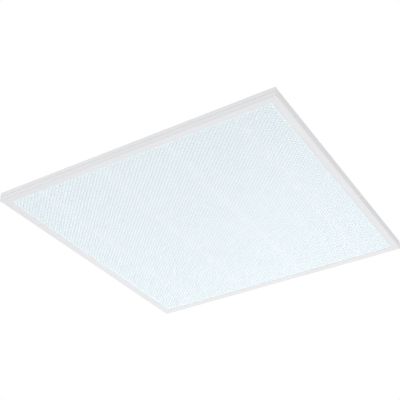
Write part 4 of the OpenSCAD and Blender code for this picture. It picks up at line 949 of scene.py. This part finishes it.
# Studio: a world that is white where it is seen, reflected or looked at through something, and
# dimmer as a light; one broad lamp below the panel on the side away from the camera, three above
# its back, and a pale floor well below.
world = bpy.data.worlds.new("studio")
scene.world = world
world.use_nodes = True
w_tree = world.node_tree
w_nodes, w_links = w_tree.nodes, w_tree.links
backdrop = w_nodes["Background"]
backdrop.inputs["Color"].default_value = (0.97, 0.98, 1.0, 1)
backdrop.inputs["Strength"].default_value = 0.785
seen = w_nodes.new("ShaderNodeBackground")
seen.inputs["Color"].default_value = (1, 1, 1, 1)
seen.inputs["Strength"].default_value = 1.0
rays = w_nodes.new("ShaderNodeLightPath")
seen_rays = rays.outputs["Is Camera Ray"]
for kind in ("Is Glossy Ray", "Is Transmission Ray"):
    seen_rays = reckon(w_tree, "MAXIMUM", seen_rays, rays.outputs[kind])
mix = w_nodes.new("ShaderNodeMixShader")
w_links.new(seen_rays, mix.inputs[0])
w_links.new(backdrop.outputs[0], mix.inputs[1])
w_links.new(seen.outputs[0], mix.inputs[2])
w_links.new(mix.outputs[0], w_nodes["World Output"].inputs["Surface"])


def soft_lamp(name, place, size, watts, tint=(1, 1, 1)):
    """Square area lamp at a place, aimed at the panel's middle and unseen by the camera."""
    data = bpy.data.lights.new(name, "AREA")
    data.size, data.energy, data.color = size, watts, tint
    lamp = linked(name, data)
    lamp.location = place
    lamp.rotation_mode = "QUATERNION"
    lamp.rotation_quaternion = (-Vector(place)).to_track_quat("-Z", "Y")
    lamp.visible_camera = False


soft_lamp("lamp_below", (1.05, 0.4, -1.65), 1.8, 15.5, (1.0, 0.98, 0.95))
soft_lamp("lamp_beside", (-2.0, 1.2, 1.4), 2.6, 16)
soft_lamp("lamp_front", (-1.3, -2.1, 1.4), 2.6, 13)
soft_lamp("lamp_over", (1.1, 1.2, 1.9), 2.6, 15)
floor_half, floor_z = 60, -2.6
floor_grey = coated("floor_grey", ((0.90, 0.905, 0.91), (0.92, 0.922, 0.925)), roughness=0.8,
                    peel=(40, 0.0005), drift=1.5)
floor_mesh = bpy.data.meshes.new("studio_floor")
floor_mesh.from_pydata([(x * floor_half, y * floor_half, floor_z)
                        for x, y in ((-1, -1), (1, -1), (1, 1), (-1, 1))], [], [(0, 1, 2, 3)])
floor_mesh.materials.append(floor_grey)
studio_floor = linked("studio_floor", floor_mesh)

# Camera: below the panel, outside its front left corner, looking up at it
focal_pixels, picture_pixels, sensor = 854.5, 400, 36
camera_data = bpy.data.cameras.new("camera")
camera_data.sensor_width = sensor
camera_data.lens = focal_pixels / picture_pixels * sensor
camera_data.clip_end = 50
camera = linked("camera", camera_data)
camera.location = (-1.29331, -0.72990, -0.90644)
aim = Vector((0.72324, 0.42146, 0.54708))
roll = Quaternion((0, 0, 1), math.radians(-1.106))
camera.rotation_mode = "QUATERNION"
camera.rotation_quaternion = aim.to_track_quat("-Z", "Y") @ roll
scene.camera = camera
scene.view_settings.view_transform = "Standard"
